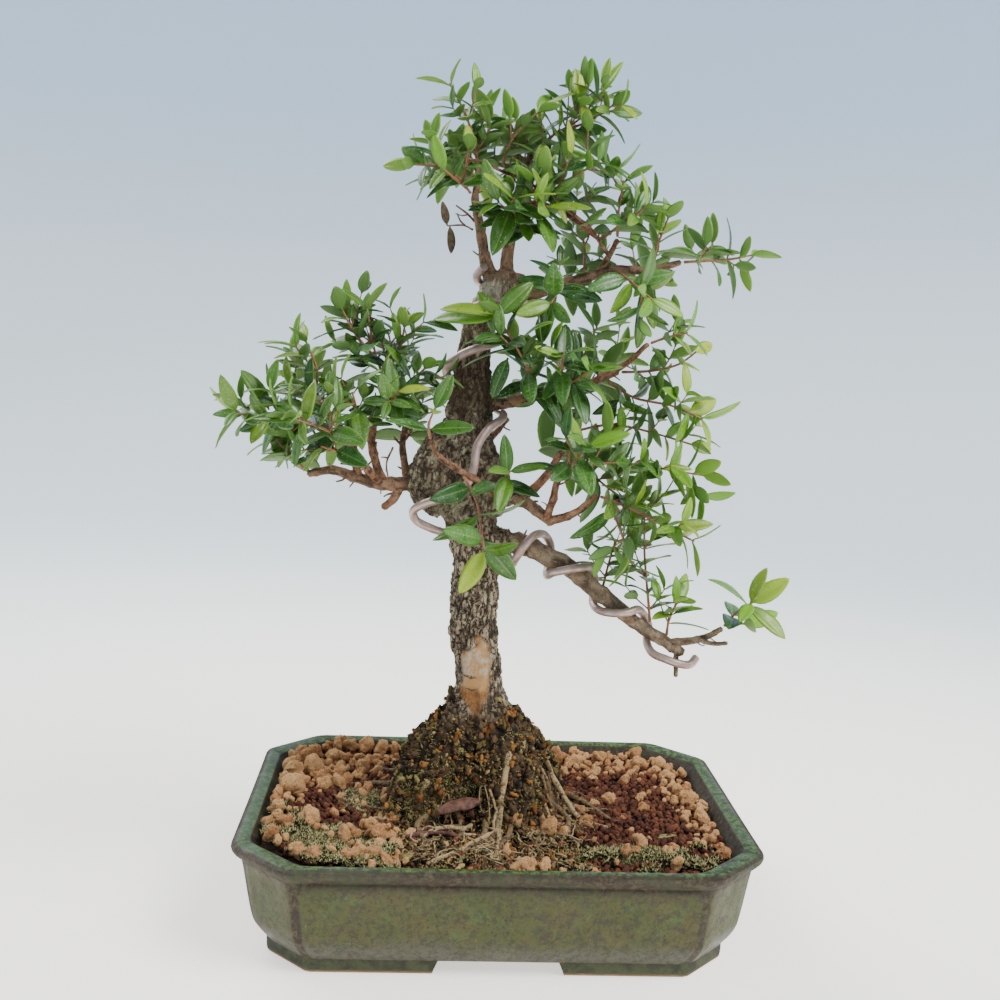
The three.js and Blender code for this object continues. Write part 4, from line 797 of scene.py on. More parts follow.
def add_foot(skin, right, back):
    """A corner foot: a band round the corner whose ends slope in"""
    x, y, cut = FOOT
    path = [(FOOT_GAP[0], -y), (x - cut - 1.2, -y), (x - cut + 0.8, -y + 0.8), (x - 0.8, -y + cut - 0.8),
            (x, -y + cut + 1.2), (x, -FOOT_GAP[1])]
    px, py, pcut = inset(FOOT, FOOT_WIDTH)
    inner = [(FOOT_GAP[0], -py), (px - pcut - 1, -py), (px - pcut + 1, -py + 1), (px - 1, -py + pcut - 1),
             (px, -py + pcut + 1), (px, -FOOT_GAP[1])]
    rows = []
    for i, (outer, near) in enumerate(zip(path, inner)):
        outer, near = np.array(outer, float), np.array(near, float)
        ring = []
        slope = np.array([1.0, 0]) if i == 0 else np.array([0, -1.0]) if i == 5 else np.zeros(2)
        for t, z, slant in FOOT_SHAPE:
            flat = outer + (near - outer) * t + slope * 2.6 * slant
            ring.append((flat[0] * right, flat[1] * back, z - STAND))
        rows.append(ring)
    rows = np.array(rows)
    if right * back < 0:
        rows = rows[:, ::-1]
    skin.add(stacked(rows), 1, edge=20.0, iron=0.7, pool=0.0)


def glaze_finish(s):
    f = Finish("Green glaze", Roughness=0.42, Specular_IOR_Level=0.3)
    edge, iron, pool = f.value("edge"), f.value("iron"), f.value("pool")
    broad = f.grain(30, 5, 0.62)
    middle = f.grain(130, 6, 0.72)
    fine = f.grain(800, 5, 0.78)
    flecks = f.grain(420, 6, 0.85)
    x, _, height = f.axes()
    base = f.mix(s.glaze, s.khaki, f.band(f.grain(75, 6, 0.75) + middle * 0.4, 0.58, 0.84) * 0.9)
    base = f.mix(base, s.bright, f.band(f.grain(150, 4, 0.6) + (fine - 0.5) * 0.4, 0.5, 0.74) * 0.62)
    base = f.mix(base, (0.105, 0.100, 0.042), f.band(fine, 0.52, 0.7) * 0.45)
    base = f.mix(base, (0.026, 0.025, 0.013), f.band(flecks, 0.535, 0.42) * 0.72)
    base = f.mix(base, (0.040, 0.028, 0.022), f.band(f.grain(230, 5, 0.8) + broad * 0.2, 0.64, 0.74) * 0.7)
    specks = 1 - f.band(f.cells(520), 0.12, 0.3)
    base = f.mix(base, (0.016, 0.014, 0.009), specks * f.band(f.grain(90, 3, 0.6), 0.44, 0.62) * 0.8)
    scratch = f.band(f.grain(700, 2, 0.5, f.stretched((1, 1, 0.07))), 0.7, 0.76)
    base = f.mix(base, (0.17, 0.17, 0.115), scratch * f.band(middle, 0.48, 0.6) * 0.5)
    worn = f.band(height + (broad - 0.5) * 0.016 + middle * 0.004, 0.017, 0.008)
    bared = f.mix((0.075, 0.068, 0.056), (0.036, 0.034, 0.024), f.band(flecks, 0.55, 0.42))
    base = f.mix(base, bared, worn * 0.7)
    # Painted shade: a brown band darkens the body just under the overhanging lip
    under = f.band(height + (middle - 0.5) * 0.006, 0.0285, 0.0325)
    base = f.mix(base, (0.060, 0.040, 0.024), under * 0.55)
    crease = 1 - f.band(edge + (middle - 0.5) * 1.6, 0.3, 1.9)
    dark = (iron * (1 - pool * 0.5) + crease * 0.95 + (middle - 0.5) * 1.1).least(1.0).most(0.0)
    deep = f.mix(s.iron, (0.088, 0.064, 0.040), f.band(flecks + middle * 0.4, 0.66, 0.84))
    deep = f.mix(deep, (0.032, 0.044, 0.020), f.band(broad + middle * 0.3, 0.6, 0.8) * 0.7)
    base = f.mix(base, deep, f.band(dark, 0.3, 0.85) * 0.92)
    rim = f.mix((0.022, 0.023, 0.012), f.mix(s.bright, s.rim, fine), f.band(flecks, 0.47, 0.56))
    # Painted shade: the rim's top turns a darker, duller green towards its left end, away from the key light
    rim = f.mix(rim, (0.050, 0.080, 0.036), f.band(x, -0.066, -0.088) * f.band(middle, 0.36, 0.56) * 0.6)
    base = f.mix(base, rim, f.band(pool + (middle - 0.5) * 0.9, 0.42, 0.74))
    roughness = f.band(middle, 0.3, 0.7, 0.34, 0.6) + f.band(dark, 0.3, 0.85) * 0.2
    return f.done(base, roughness, broad * 0.4 + middle * 0.45 + fine * 0.16, 0.0009, 0.9)


def clay_finish(s):
    f = Finish("Foot clay", Roughness=0.8)
    height = f.axes()[2] + STAND * MM
    grain = f.grain(500, 5, 0.7)
    soft = f.grain(190, 4, 0.65)
    bare = f.mix(s.clay, (0.13, 0.07, 0.036), grain)
    glazed = f.mix((0.020, 0.021, 0.010), (0.046, 0.054, 0.019), f.band(soft + grain * 0.3, 0.5, 0.8))
    cover = f.band(height + soft * 0.0014, 0.0013, 0.0021)
    return f.done(f.mix(bare, glazed, cover), None, grain, 0.0004, 0.7)


# The ground
def soil_height(x, y):
    u = (x - MOUND[0]) / MOUND[3]
    v = (y - MOUND[1]) / MOUND[4]
    uneven = 0.7 * np.sin(x / 13 + 1) * np.cos(y / 11)
    return SOIL_EDGE + MOUND[2] * np.exp(-(u * u + v * v)) + uneven + BANK[0] * eased(-x, BANK[1], BANK[2])


def soil_outline(z, by, parts):
    """The soil's edge, cut into parts on each of its eight sides"""
    raw = eight_corners(*inset(inner_level(z), by))
    return np.array([raw[i] + (raw[(i + 1) % 8] - raw[i]) * k / parts for i in range(8) for k in range(parts)])


def in_pot(x, y, margin):
    bx, by, cut = inset(inner_level(SOIL_EDGE), margin)
    return abs(x) < bx and abs(y) < by and abs(x) + abs(y) < bx + by - cut


def on_moss(x, y, margin):
    return any(math.hypot((x - m[0]) / (m[2] + margin), (y - m[1]) / (m[3] + margin)) < 1 for m in MOSS.values())


def on_flare(x, y, margin=0):
    return math.hypot((x - FLARE[0]) / (FLARE[2] + margin), (y - FLARE[1]) / (FLARE[3] + margin)) < 1


def flare_place(angle, reach):
    """A place round the flare, at a share of its half sizes"""
    return FLARE[0] + FLARE[2] * reach * math.cos(angle), FLARE[1] + FLARE[3] * reach * math.sin(angle)


def in_root_net(x, y):
    return -36 < x < 30 and -57 < y < -20


TRUNK = smooth(TRUNK_LEVELS, 4)
FOOT_LEVELS = TRUNK[TRUNK[:, 0] < 100]


def ground_height(x, y):
    """The soil's top, or the root flare's side where that is higher"""
    reach = np.hypot((x - FOOT_LEVELS[:, 1]) / FOOT_LEVELS[:, 3], (y - FOOT_LEVELS[:, 2]) / FOOT_LEVELS[:, 4])
    side = float(np.interp(1.0, reach, FOOT_LEVELS[:, 0])) if reach[0] < 1 else 0.0
    return max(float(soil_height(x, y)), side)


# Where the larger tan granules lie thick: middle and half sizes
TAN_BANKS = [(-72, 38, 20, 24), (-86, -12, 9, 34), (-52, 55, 26, 11), (-42, -46, 8, 12), (46, 54, 34, 13),
             (81, 18, 8, 40), (20, -24, 6, 8)]
# Single large clumps: place and radius
CLUMPS = [(9.5, -58, 4.4), (14.5, -57, 3.3), (5, -58.5, 2.9), (2.2, -46, 3.1), (6.7, -28, 2.8), (-43, -39, 3.6),
          (-33, -36, 2.6), (-45, -52, 4.2), (-40, -58, 3.4), (-53, -56, 3.2), (24, -30, 2.6), (-49, -30, 3),
          (-79, 0, 4.8), (-70.5, -25, 4.4), (-82, -17, 3.6), (-76, 13, 4.2), (-66, 8, 3.6), (-81, 24, 4.2),
          (-73, 30, 4.6), (-62, 30, 3.8), (-76, 41, 4.4), (-66, 46, 4.6), (-55, 46, 3.8), (-47, 55, 4),
          (-36, 56, 3.6), (-62, 18, 3.4), (-68, 18, 3.9), (-83, 10, 3.7), (-40.4, -24, 3.3), (-78, -33, 3.2),
          (-81.5, -45, 3.5), (-71, -57, 3.4), (-65, -58, 2.9), (-84, -30, 2.6), (-66.3, -32, 2.2),
          (-55.6, -39.5, 3.2), (-49.3, -53, 2.6), (-37.5, -44, 3.2), (-60, -50, 1.9),
          (45, -46, 3.1), (52.6, -38, 2.9), (49.5, -43, 2.0), (62, -54, 3.0), (28, -57, 2.2), (80, -28, 3.0)]


def tan_share(x, y):
    near = min(math.hypot((x - a) / rx, (y - b) / ry) for a, b, rx, ry in TAN_BANKS)
    return max(0.0, min(1.0, 1.5 - near))


def soil_bed():
    edge = soil_outline(SOIL_EDGE - 1, SOIL_MARGIN, 16)
    low = soil_outline(FLOOR_TOP + 3, SOIL_MARGIN, 16)
    rings = [np.column_stack([low * 0.96, np.full(len(low), FLOOR_TOP + GAP)]),
             np.column_stack([low, np.full(len(low), FLOOR_TOP + 3.5)])]
    for f in np.linspace(1, 0.04, 34):
        flat = edge * f + np.array(MOUND[:2]) * (1 - f)
        z = soil_height(flat[:, 0], flat[:, 1])
        place = np.column_stack([flat, z])
        rings.append(np.column_stack([flat, z - 0.9 + 0.9 * rough(place, 4, 2)]))
    return stacked(np.array(rings), (MOUND[0], MOUND[1], FLOOR_TOP + GAP))


def ball(steps):
    """Points and faces of a ball of even triangles"""
    maker = bmesh.new()
    bmesh.ops.create_icosphere(maker, subdivisions=steps, radius=1)
    points = np.array([v.co for v in maker.verts])
    faces = np.array([[v.index for v in face.verts] for face in maker.faces])
    maker.free()
    return points, faces


def lumps(steps, count, bulge, seed):
    """Granule shapes, each knobbly in its own way"""
    points, faces = ball(steps)
    made = []
    for k in range(count):
        shift = points + 10.0 * k
        grown = 1 + bulge * rough(shift, 0.95, seed, 2) - bulge * np.abs(rough(shift, 0.7, seed + 4, 2))
        grown += 0.3 * bulge * rough(shift, 0.3, seed + 9, 2)
        made.append(points * grown[:, None])
    return made, faces


def turned(draw):
    """A random turn as a matrix"""
    w, x, y, z = unit(draw.spread(4))
    return np.array([[1 - 2 * (y * y + z * z), 2 * (x * y - z * w), 2 * (x * z + y * w)],
                     [2 * (x * y + z * w), 1 - 2 * (x * x + z * z), 2 * (y * z - x * w)],
                     [2 * (x * z - y * w), 2 * (y * z + x * w), 1 - 2 * (x * x + y * y)]])


def place_granules(s):
    """Large granules where they lie thick, then small ones in what is left: place, radius and kind"""
    draw = Draws(41)
    placed = [(*clump, 1.0) for clump in CLUMPS]

    def free(x, y, r, overlap):
        return all((x - p[0]) ** 2 + (y - p[1]) ** 2 > (overlap * (r + p[2])) ** 2 for p in placed)

    bx, by, _ = inner_level(SOIL_EDGE)
    big = s.large / MM
    for _ in range(9000):
        x, y = draw.between(-bx, bx), draw.between(-by, by)
        share = tan_share(x, y)
        r = big * (0.5 + 0.75 * draw() ** 1.6) * (0.75 + 0.35 * share)
        keep = draw()
        if keep > share * 0.98 + 0.02 or not in_pot(x, y, r * 0.7 + 0.5) or on_flare(x, y, -6 + r):
            continue
        if (on_moss(x, y, 0) and keep > 0.06) or (in_root_net(x, y) and keep > 0.35 * share):
            continue
        if free(x, y, r, 0.74):
            placed.append((x, y, r, 1.0))
    large = len(placed)
    pebbles = np.array(placed)
    step = 2.05 * s.small / MM
    rows = []
    for i in range(int(2 * by / (step * 0.87)) + 1):
        for j in range(int(2 * bx / step) + 1):
            x = -bx + (j + 0.5 * (i % 2)) * step + draw.between(-0.8, 0.8)
            y = -by + i * step * 0.87 + draw.between(-0.8, 0.8)
            r = s.small / MM * (0.65 + 0.75 * draw())
            tone = draw()
            if not in_pot(x, y, r + 0.4) or on_flare(x, y, -5):
                continue
            if (on_moss(x, y, -1.5) or in_root_net(x, y)) and tone > 0.26:
                continue
            reach = np.hypot(pebbles[:, 0] - x, pebbles[:, 1] - y) - pebbles[:, 2] * 0.8
            if reach.min() < 0:
                continue
            rows.append((x, y, r, 0.75 if draw() < 0.35 * tan_share(x, y) ** 2 else 0.0))
    return placed[:large], rows


def add_granules(skin, rows, steps, seed, sink):
    draw = Draws(seed)
    variants, faces = lumps(steps, 14, 0.62 if steps > 2 else 0.55, seed)
    for k, (x, y, r, kind) in enumerate(rows):
        squash = np.array([1.12, draw.between(0.75, 1.1), draw.between(0.65, 0.95)]) * r
        points = (variants[k % len(variants)] * squash) @ turned(draw).T
        heaped = 1.9 * (not in_pot(x, y, 10)) * (x < -15 or y > 35) * kind
        z = ground_height(x, y) + r * sink + draw.between(-0.3, 0.5) + heaped + 1.2 * on_moss(x, y, 6) * kind
        skin.add((points + np.array([x, y, z]), [faces]), 0, tone=draw(), kind=kind)


def granule_finish(s):
    f = Finish("Clay granules", Roughness=0.95, Specular_IOR_Level=0.25)
    tone, kind = f.value("tone"), f.value("kind")
    fine = f.grain(1100, 5, 0.75)
    coarse = f.grain(350, 4, 0.6)
    red = f.mix(s.red, (0.205, 0.068, 0.030), f.band(tone * 0.7 + coarse * 0.7, 0.45, 1.05))
    red = f.mix(red, (0.05, 0.022, 0.013), f.band(fine, 0.5, 0.36) * 0.7)
    tan = f.mix(s.tan, (0.38, 0.155, 0.052), f.band(tone * 0.75 + coarse * 0.5, 0.42, 1.0))
    tan = f.mix(tan, (0.66, 0.43, 0.22), f.band(fine + coarse * 0.3, 0.58, 0.85) * 0.6)
    tan = f.mix(tan, (0.20, 0.078, 0.028), f.band(fine, 0.46, 0.36) * 0.8)
    base = f.mix(red, tan, kind)
    base = f.mix(base, s.earth, f.band(fine * 0.6 + coarse * 0.5, 0.5, 0.36) * 0.6)
    return f.done(base, None, fine * 0.8 + coarse, 0.0012, 1.0)


def earth_finish(s):
    f = Finish("Earth", Roughness=1.0, Specular_IOR_Level=0.2)
    fine = f.grain(800, 6, 0.75)
    return f.done(f.mix(s.earth, (0.075, 0.032, 0.018), f.band(fine, 0.4, 0.65)), None, fine, 0.001, 1.0)


def moss_cushion(patch, seed):
    x, y, rx, ry, thick = patch
    draw = Draws(seed)
    reach = [0.86 + 0.24 * draw() for _ in range(12)]
    rings = []
    sides = 60
    for f, lift in ((1.02, -2.5), (1.0, 0), (0.95, 0.35), (0.86, 0.6), (0.74, 0.75), (0.6, 0.8), (0.46, 0.85),
                    (0.32, 0.9), (0.18, 0.9), (0.07, 0.9)):
        ring = []
        for k in range(sides):
            a = 2 * math.pi * k / sides
            at = k / sides * 12
            wide = reach[int(at) % 12] * (1 - at % 1) + reach[(int(at) + 1) % 12] * (at % 1)
            px, py = x + rx * wide * f * math.cos(a), y + ry * wide * f * math.sin(a)
            ring.append((px, py, soil_height(px, py) + thick * lift * 0.75))
        rings.append(ring)
    points, faces = stacked(np.array(rings))
    points[:, 2] += 0.45 * rough(points, 2.6, seed)
    return points, faces


def add_tufts(skin, spots, draw, tall, wide):
    """Many tiny leaning spikes of moss; each spot is a place and the way that it grows"""
    for spot, grows in spots:
        for _ in range(3):
            lean = unit(grows + draw.spread() * 1.7)
            side = unit(np.cross(lean, np.array([0.3, 0.5, 0.81])))
            up = np.cross(lean, side)
            high = tall * draw.between(0.55, 1.15)
            half = wide * draw.between(0.7, 1.2)
            foot = spot + np.array([draw() - 0.5, draw() - 0.5, 0]) * wide * 3
            ring = [foot + 1.35 * half * (side * math.cos(a) + up * math.sin(a)) for a in (0, 2.1, 4.2)]
            points = np.array(ring + [foot + lean * high])
            faces = [np.array([[0, 1, 3], [1, 2, 3], [2, 0, 3], [1, 0, 2]])]
            skin.add((points, faces), 0, tip=np.array([0, 0, 0, 1.2]), tone=draw())


def moss_spots(patch, seed, spacing):
    x, y, rx, ry, thick = patch
    draw = Draws(seed)
    spots = []
    for _ in range(int(math.pi * rx * ry / spacing ** 2)):
        a, f = 2 * math.pi * draw(), math.sqrt(draw())
        px, py = x + rx * f * math.cos(a) * 0.98, y + ry * f * math.sin(a) * 0.98
        place = np.array([[px, py, 0.0]])
        z = soil_height(px, py) + thick * 0.62 * (1 - f ** 4) + 0.4 * rough(place, 2.6, seed)[0]
        spots.append((np.array([px, py, z - 0.2]), UP))
    return spots


def rim_moss(count, draw, left, right, back):
    """Places of loose moss in patches along the rim"""
    spots = []
    while len(spots) < count:
        x, y = draw.between(left, right), draw.between(-64, back)
        patch = rough(np.array([[x, y, 0.0]]), 9, 3, 2)[0]
        if in_pot(x, y, 1) and not in_pot(x, y, 15 + 9 * patch) and patch + 0.5 * draw() > 0.22:
            spots.append((np.array([x, y, soil_height(x, y) + draw.between(0.8, 2.8)]), UP))
    return spots


def moss_finish(s, gold):
    f = Finish("Golden moss" if gold else "Moss", Roughness=1.0, Specular_IOR_Level=0.15)
    tip, tone = f.value("tip"), f.value("tone")
    fine = f.grain(700, 4, 0.7)
    if gold:
        stops = [(0.0, (0.075, 0.080, 0.016)), (0.35, (0.25, 0.21, 0.065)), (0.7, (0.44, 0.34, 0.13)),
                 (0.88, (0.52, 0.44, 0.22)), (1.0, (0.36, 0.18, 0.05))]
    else:
        stops = [(0.0, (0.070, 0.080, 0.022)), (0.35, tuple(s.moss_tip)), (0.7, (0.42, 0.37, 0.17)),
                 (0.88, (0.58, 0.51, 0.29)), (1.0, (0.30, 0.20, 0.08))]
    # Each tuft, and the cushion under the tufts, runs from the dark base colour, partly painted shade, up to the tip
    # colours
    base = f.mix(s.moss_base_and_shade, f.ramp(tone, stops), f.band(tip + (fine - 0.5) * 0.4, 0.15, 0.85))
    return f.done(base, None, fine, 0.0006, 0.8)


# The wood
def core_point(row, angle, out=1.0):
    """A place on the trunk's fluted side at one of its levels"""
    z, x, y, rx, ry, fluting = row
    ridges = 0.6 * np.sin(5 * angle + 0.8) + 0.4 * np.sin(3 * angle + 2 + z / 40)
    r = (1 + fluting * ridges) * out
    return np.stack([x + rx * r * np.cos(angle), y + ry * r * np.sin(angle), np.full_like(angle, z)], -1)


def core():
    angle = 2 * np.pi * np.arange(64) / 64
    rings = [core_point(row, angle) for row in TRUNK]
    return stacked(np.array(rings), None, (-5, 0, 243))


def burl_lobe(at, half, number):
    points, faces = ball(5)
    bump = 1 + 0.07 * np.sin(4 * points[:, 0] + 3 * points[:, 2] + number) * np.cos(3 * points[:, 1] + number)
    bump += 0.07 * rough(points + number * 7, 0.7, 3)
    return points * np.array(half) * bump[:, None] + np.array(at), [faces]


def flare_strand(draw, angle):
    """A root that runs down the flare and a little way out over the soil"""
    high = draw.between(56, 88)
    line = []
    for row in TRUNK[::-1]:
        if row[0] > high or row[0] < 40:
            continue
        angle += draw.between(-0.05, 0.05)
        line.append(core_point(row, np.array([angle]), 0.97 + 0.05 * draw())[0])
    middle = np.array(FLARE[:2], float)
    reach = draw.between(3, 12)
    for k in range(1, 5):
        out = line[-1][:2] - middle
        spot = line[-1][:2] + out / np.linalg.norm(out) * reach / 4
        line.append(np.array([spot[0], spot[1], soil_height(*spot) + 0.9 - 0.5 * k]))
    line = np.array(line)
    thick = draw.between(0.9, 1.9)
    taper = np.linspace(1.0, 0.45, len(line)) * thick
    taper *= 1 + 0.25 * rough(line, 5, 7)
    return tube(line, taper, 10)


def remeshed(shapes, cell):
    """Joins closed shapes into one skin of even cells and gives its points, faces and outward directions"""
    join = Skin()
    for shape in shapes:
        join.add(shape)
    points = np.concatenate([b[0] for b in join.blocks])
    faces = [tuple(face) for b in join.blocks for group in b[1] for face in group.tolist()]
    mesh = bpy.data.meshes.new("joined wood")
    mesh.from_pydata((points * MM).tolist(), [], faces)
    holder = bpy.data.objects.new("joined wood", mesh)
    bpy.context.scene.collection.objects.link(holder)
    change = holder.modifiers.new("Cells", "REMESH")
    change.mode, change.voxel_size = "VOXEL", cell
    even = holder.modifiers.new("Even", "SMOOTH")
    even.factor, even.iterations = 0.5, 2
    found = holder.evaluated_get(bpy.context.evaluated_depsgraph_get()).to_mesh()
    made = np.zeros(len(found.vertices) * 3, np.float32)
    found.vertices.foreach_get("co", made)
    normals = np.zeros(len(found.vertices) * 3, np.float32)
    found.vertices.foreach_get("normal", normals)
    corners = np.zeros(len(found.loops), np.int32)
    found.loops.foreach_get("vertex_index", corners)
    bpy.data.objects.remove(holder)
    bpy.data.meshes.remove(mesh)
    return made.reshape(-1, 3).astype(float) / MM, corners.reshape(-1, 4), normals.reshape(-1, 3).astype(float)


def eased(value, low, high):
    t = np.clip((value - low) / (high - low), 0, 1)
    return t * t * (3 - 2 * t)


def barked(points, outward):
    """Moves the trunk's skin into bark and gives how much each point is plate, flare and scar, and how high the
    flare's surface rises there, which the bark finish darkens in its low spots as painted shade
    """
    x, y, z = points.T
    flare = 1 - eased(z, 69, 83)
    burl = eased(z, 145, 154) * (1 - eased(z, 182, 192))
    scar = 1 - eased(np.hypot((x + 9.6) / 6.8, (z - 89.5) / 16.5) + 0.38 * rough(points, 6, 90, 4), 0.72, 1.0)
    scar = scar * (outward[:, 1] < -0.15)
    fresh = eased(z, 232, 243)
    drift = drifted(points, 5, (20, 30, 40), 3) * 1.9
    plates = cracks((points + drift) * np.array([1, 1, 0.34]), 2.5, 4)
    streak = rough((points + drift) * np.array([1, 1, 0.26]), 2.6, 14, 4, 0.62)
    plate = np.clip(plates / 0.3, 0, 1) ** 0.8 * np.clip(0.75 + streak, 0, 1)
    ridge = rough((points + drift) * np.array([1, 1, 0.25]), 4, 50, 3)
    crumbs = rough(points, 2.2, 60, 3, 0.6)
    stem = (plate - 0.7) * 1.35 + 0.75 * streak + 0.3 * crumbs
    lumpy = (plate - 0.7) * 1.3 + 1.1 * rough(points, 4.5, 70, 3) + 0.5 * crumbs
    root = 0.9 * ridge + 1.0 * crumbs - 0.5
    move = stem * (1 - flare) * (1 - burl) + lumpy * burl * (1 - flare) + root * flare
    move = move * (1 - 0.85 * scar) * (1 - 0.8 * fresh) - 0.5 * scar
    return points + outward * move[:, None], plate, flare, scar, ridge * 0.5 + crumbs * 0.5


# Roots on the flare, and how many crumbs and moss tufts lie on it, round its foot and in the net of roots
STRANDS = 18
CRUMBS = (3800, 1300, 1500)
TUFTS = (2000, 700, 1100)
# Roots that run out of the flare, those of them in front, and the finest ones
RUNNERS, FRONT_RUNNERS, FINE_ROOTS = 38, 24, 190
# Crumbs are dark soil, brown bark, rust or straw, drawn from this list
CRUMB_KINDS = (0.0, 0.0, 0.0, 0.0, 0.35, 0.35, 0.35, 0.7, 0.7, 1.0, 1.0)


def flare_places(points, outward, count, draw, wanted):
    """Random places on the root flare, with the way out of it, that pass a test"""
    found = []
    low = np.flatnonzero((points[:, 2] < 82) & (points[:, 2] > 33))
    for _ in range(count * 6):
        k = low[int(draw() * len(low)) % len(low)]
        if points[k, 2] > soil_height(points[k, 0], points[k, 1]) - 0.5 and wanted(points[k], draw()):
            found.append((points[k], outward[k]))
        if len(found) == count:
            break
    return found


def ground_places(count, draw, inner, outer):
    """Random places on the ground round the foot of the flare, most of them in front"""
    found = []
    while len(found) < count:
        a = draw.between(-math.pi, math.pi)
        f = draw.between(inner, outer)
        x, y = flare_place(a, f)
        if in_pot(x, y, 1.5) and draw() < (1 if y < -12 else 0.25):
            found.append((np.array([x, y, ground_height(x, y)]), UP))
    return found


def net_places(count, draw):
    """Random places in the net of roots in front"""
    found = []
    while len(found) < count:
        x, y = draw.between(-38, 32), draw.between(-63, -20)
        if in_pot(x, y, 1) and rough(np.array([[x, y, 0.0]]), 7, 6, 2)[0] + draw() > 0.35:
            found.append((np.array([x, y, ground_height(x, y) + draw.between(0, 0.9)]), UP))
    return found


def add_crumbs(skin, places, seed, small, large):
    """Little lumps of soil and bark that cling to the roots"""
    draw = Draws(seed)
    sorts = [lumps(steps, 10, 0.85, seed + steps) for steps in (1, 2)]
    for k, (spot, way) in enumerate(places):
        r = small + (large - small) * draw() ** 3.2
        variants, faces = sorts[r > 1.35]
        squash = np.array([1.3, draw.between(0.6, 1.1), draw.between(0.6, 1)]) * r
        shape = (variants[k % len(variants)] * squash) @ turned(draw).T + spot + way * r * 0.35
        skin.add((shape, [faces]), 0, tone=draw(), kind=CRUMB_KINDS[int(draw() * len(CRUMB_KINDS))])


def crumb_finish(s):
    f = Finish("Crumbs", Roughness=1.0, Specular_IOR_Level=0.2)
    tone, kind = f.value("tone"), f.value("kind")
    fine = f.grain(1300, 5, 0.75)
    dark = f.mix((0.012, 0.008, 0.005), (0.085, 0.050, 0.026), f.band(tone + (fine - 0.5), 0.3, 1.1))
    rust = f.mix((0.13, 0.050, 0.016), (0.38, 0.16, 0.042), f.band(tone * 0.7 + fine * 0.6, 0.45, 1.05))
    base = f.mix(dark, rust, f.band(kind, 0.4, 0.6))
    straw = f.mix((0.12, 0.088, 0.026), (0.43, 0.31, 0.12), f.band(tone * 0.6 + fine * 0.6, 0.4, 0.95))
    base = f.mix(base, straw, f.band(kind, 0.85, 0.95))
    base = f.mix(base, (0.21, 0.115, 0.055), f.band(abs(kind - 0.35), 0.1, 0.05) * f.band(fine, 0.4, 0.7))
    return f.done(base, None, fine, 0.0006, 1.0)


def add_limb(skin, line, start, end, sides, old, seed):
    """A branch with knots along it"""
    line = smooth(line, 7)
    n = len(line)
    line[1:-1] += 0.35 * drifted(line[1:-1], 7, (seed, seed + 5, seed + 9)) * start ** 0.5
    step = np.linspace(0, 1, n)
    radii = (start + (end - start) * step) * 0.92
    angle = 2 * np.pi * np.arange(sides) / sides
    spread = np.stack([np.repeat(step * line_length(line), sides), np.tile(np.cos(angle) * 2, n),
                       np.tile(np.sin(angle) * 2, n)], 1)
    bumps = rough(spread * np.array([0.6, 1, 1]), 1.4, seed, 3).reshape(n, sides)
    knots = 0.2 * np.maximum(0, np.sin(step * line_length(line) / 1.25 + seed)) ** 6
    wide = radii[:, None] * (1 + knots[:, None] + 0.16 * bumps)
    skin.add(tube(line, wide, sides), 0, old=old, crack=0.5 + 0.5 * np.append(bumps.ravel(), [0, 0]))
    return line, radii


def add_stub(skin, base, way, length, radius, old, draw):
    """A short dead twig end"""
    bend = draw.spread() * 0.5
    line = np.array([base, base + way * length * 0.5, base + (way + bend) * length])
    skin.add(tube(smooth(line, 2), np.linspace(radius, radius * 0.6, 5), 6), 0, old=old, crack=0.5)


def limb_stubs(skin, line, radii, old, draw):
    total = line_length(line)
    side, up = transport(line)
    s = draw.between(3, 6)
    while s < total - 1:
        k = min(len(line) - 1, int(s / total * (len(line) - 1)))
        a = 2 * math.pi * draw()
        onward = unit(line[min(k + 1, len(line) - 1)] - line[k - 1])
        way = unit(side[k] * math.cos(a) + up[k] * math.sin(a) + onward * 0.6)
        length, radius = draw.between(1.2, 5.5), draw.between(0.28, 0.6)
        add_stub(skin, line[k] + way * radii[k] * 0.5, way, length, radius, old, draw)
        s += draw.between(4.5, 10)


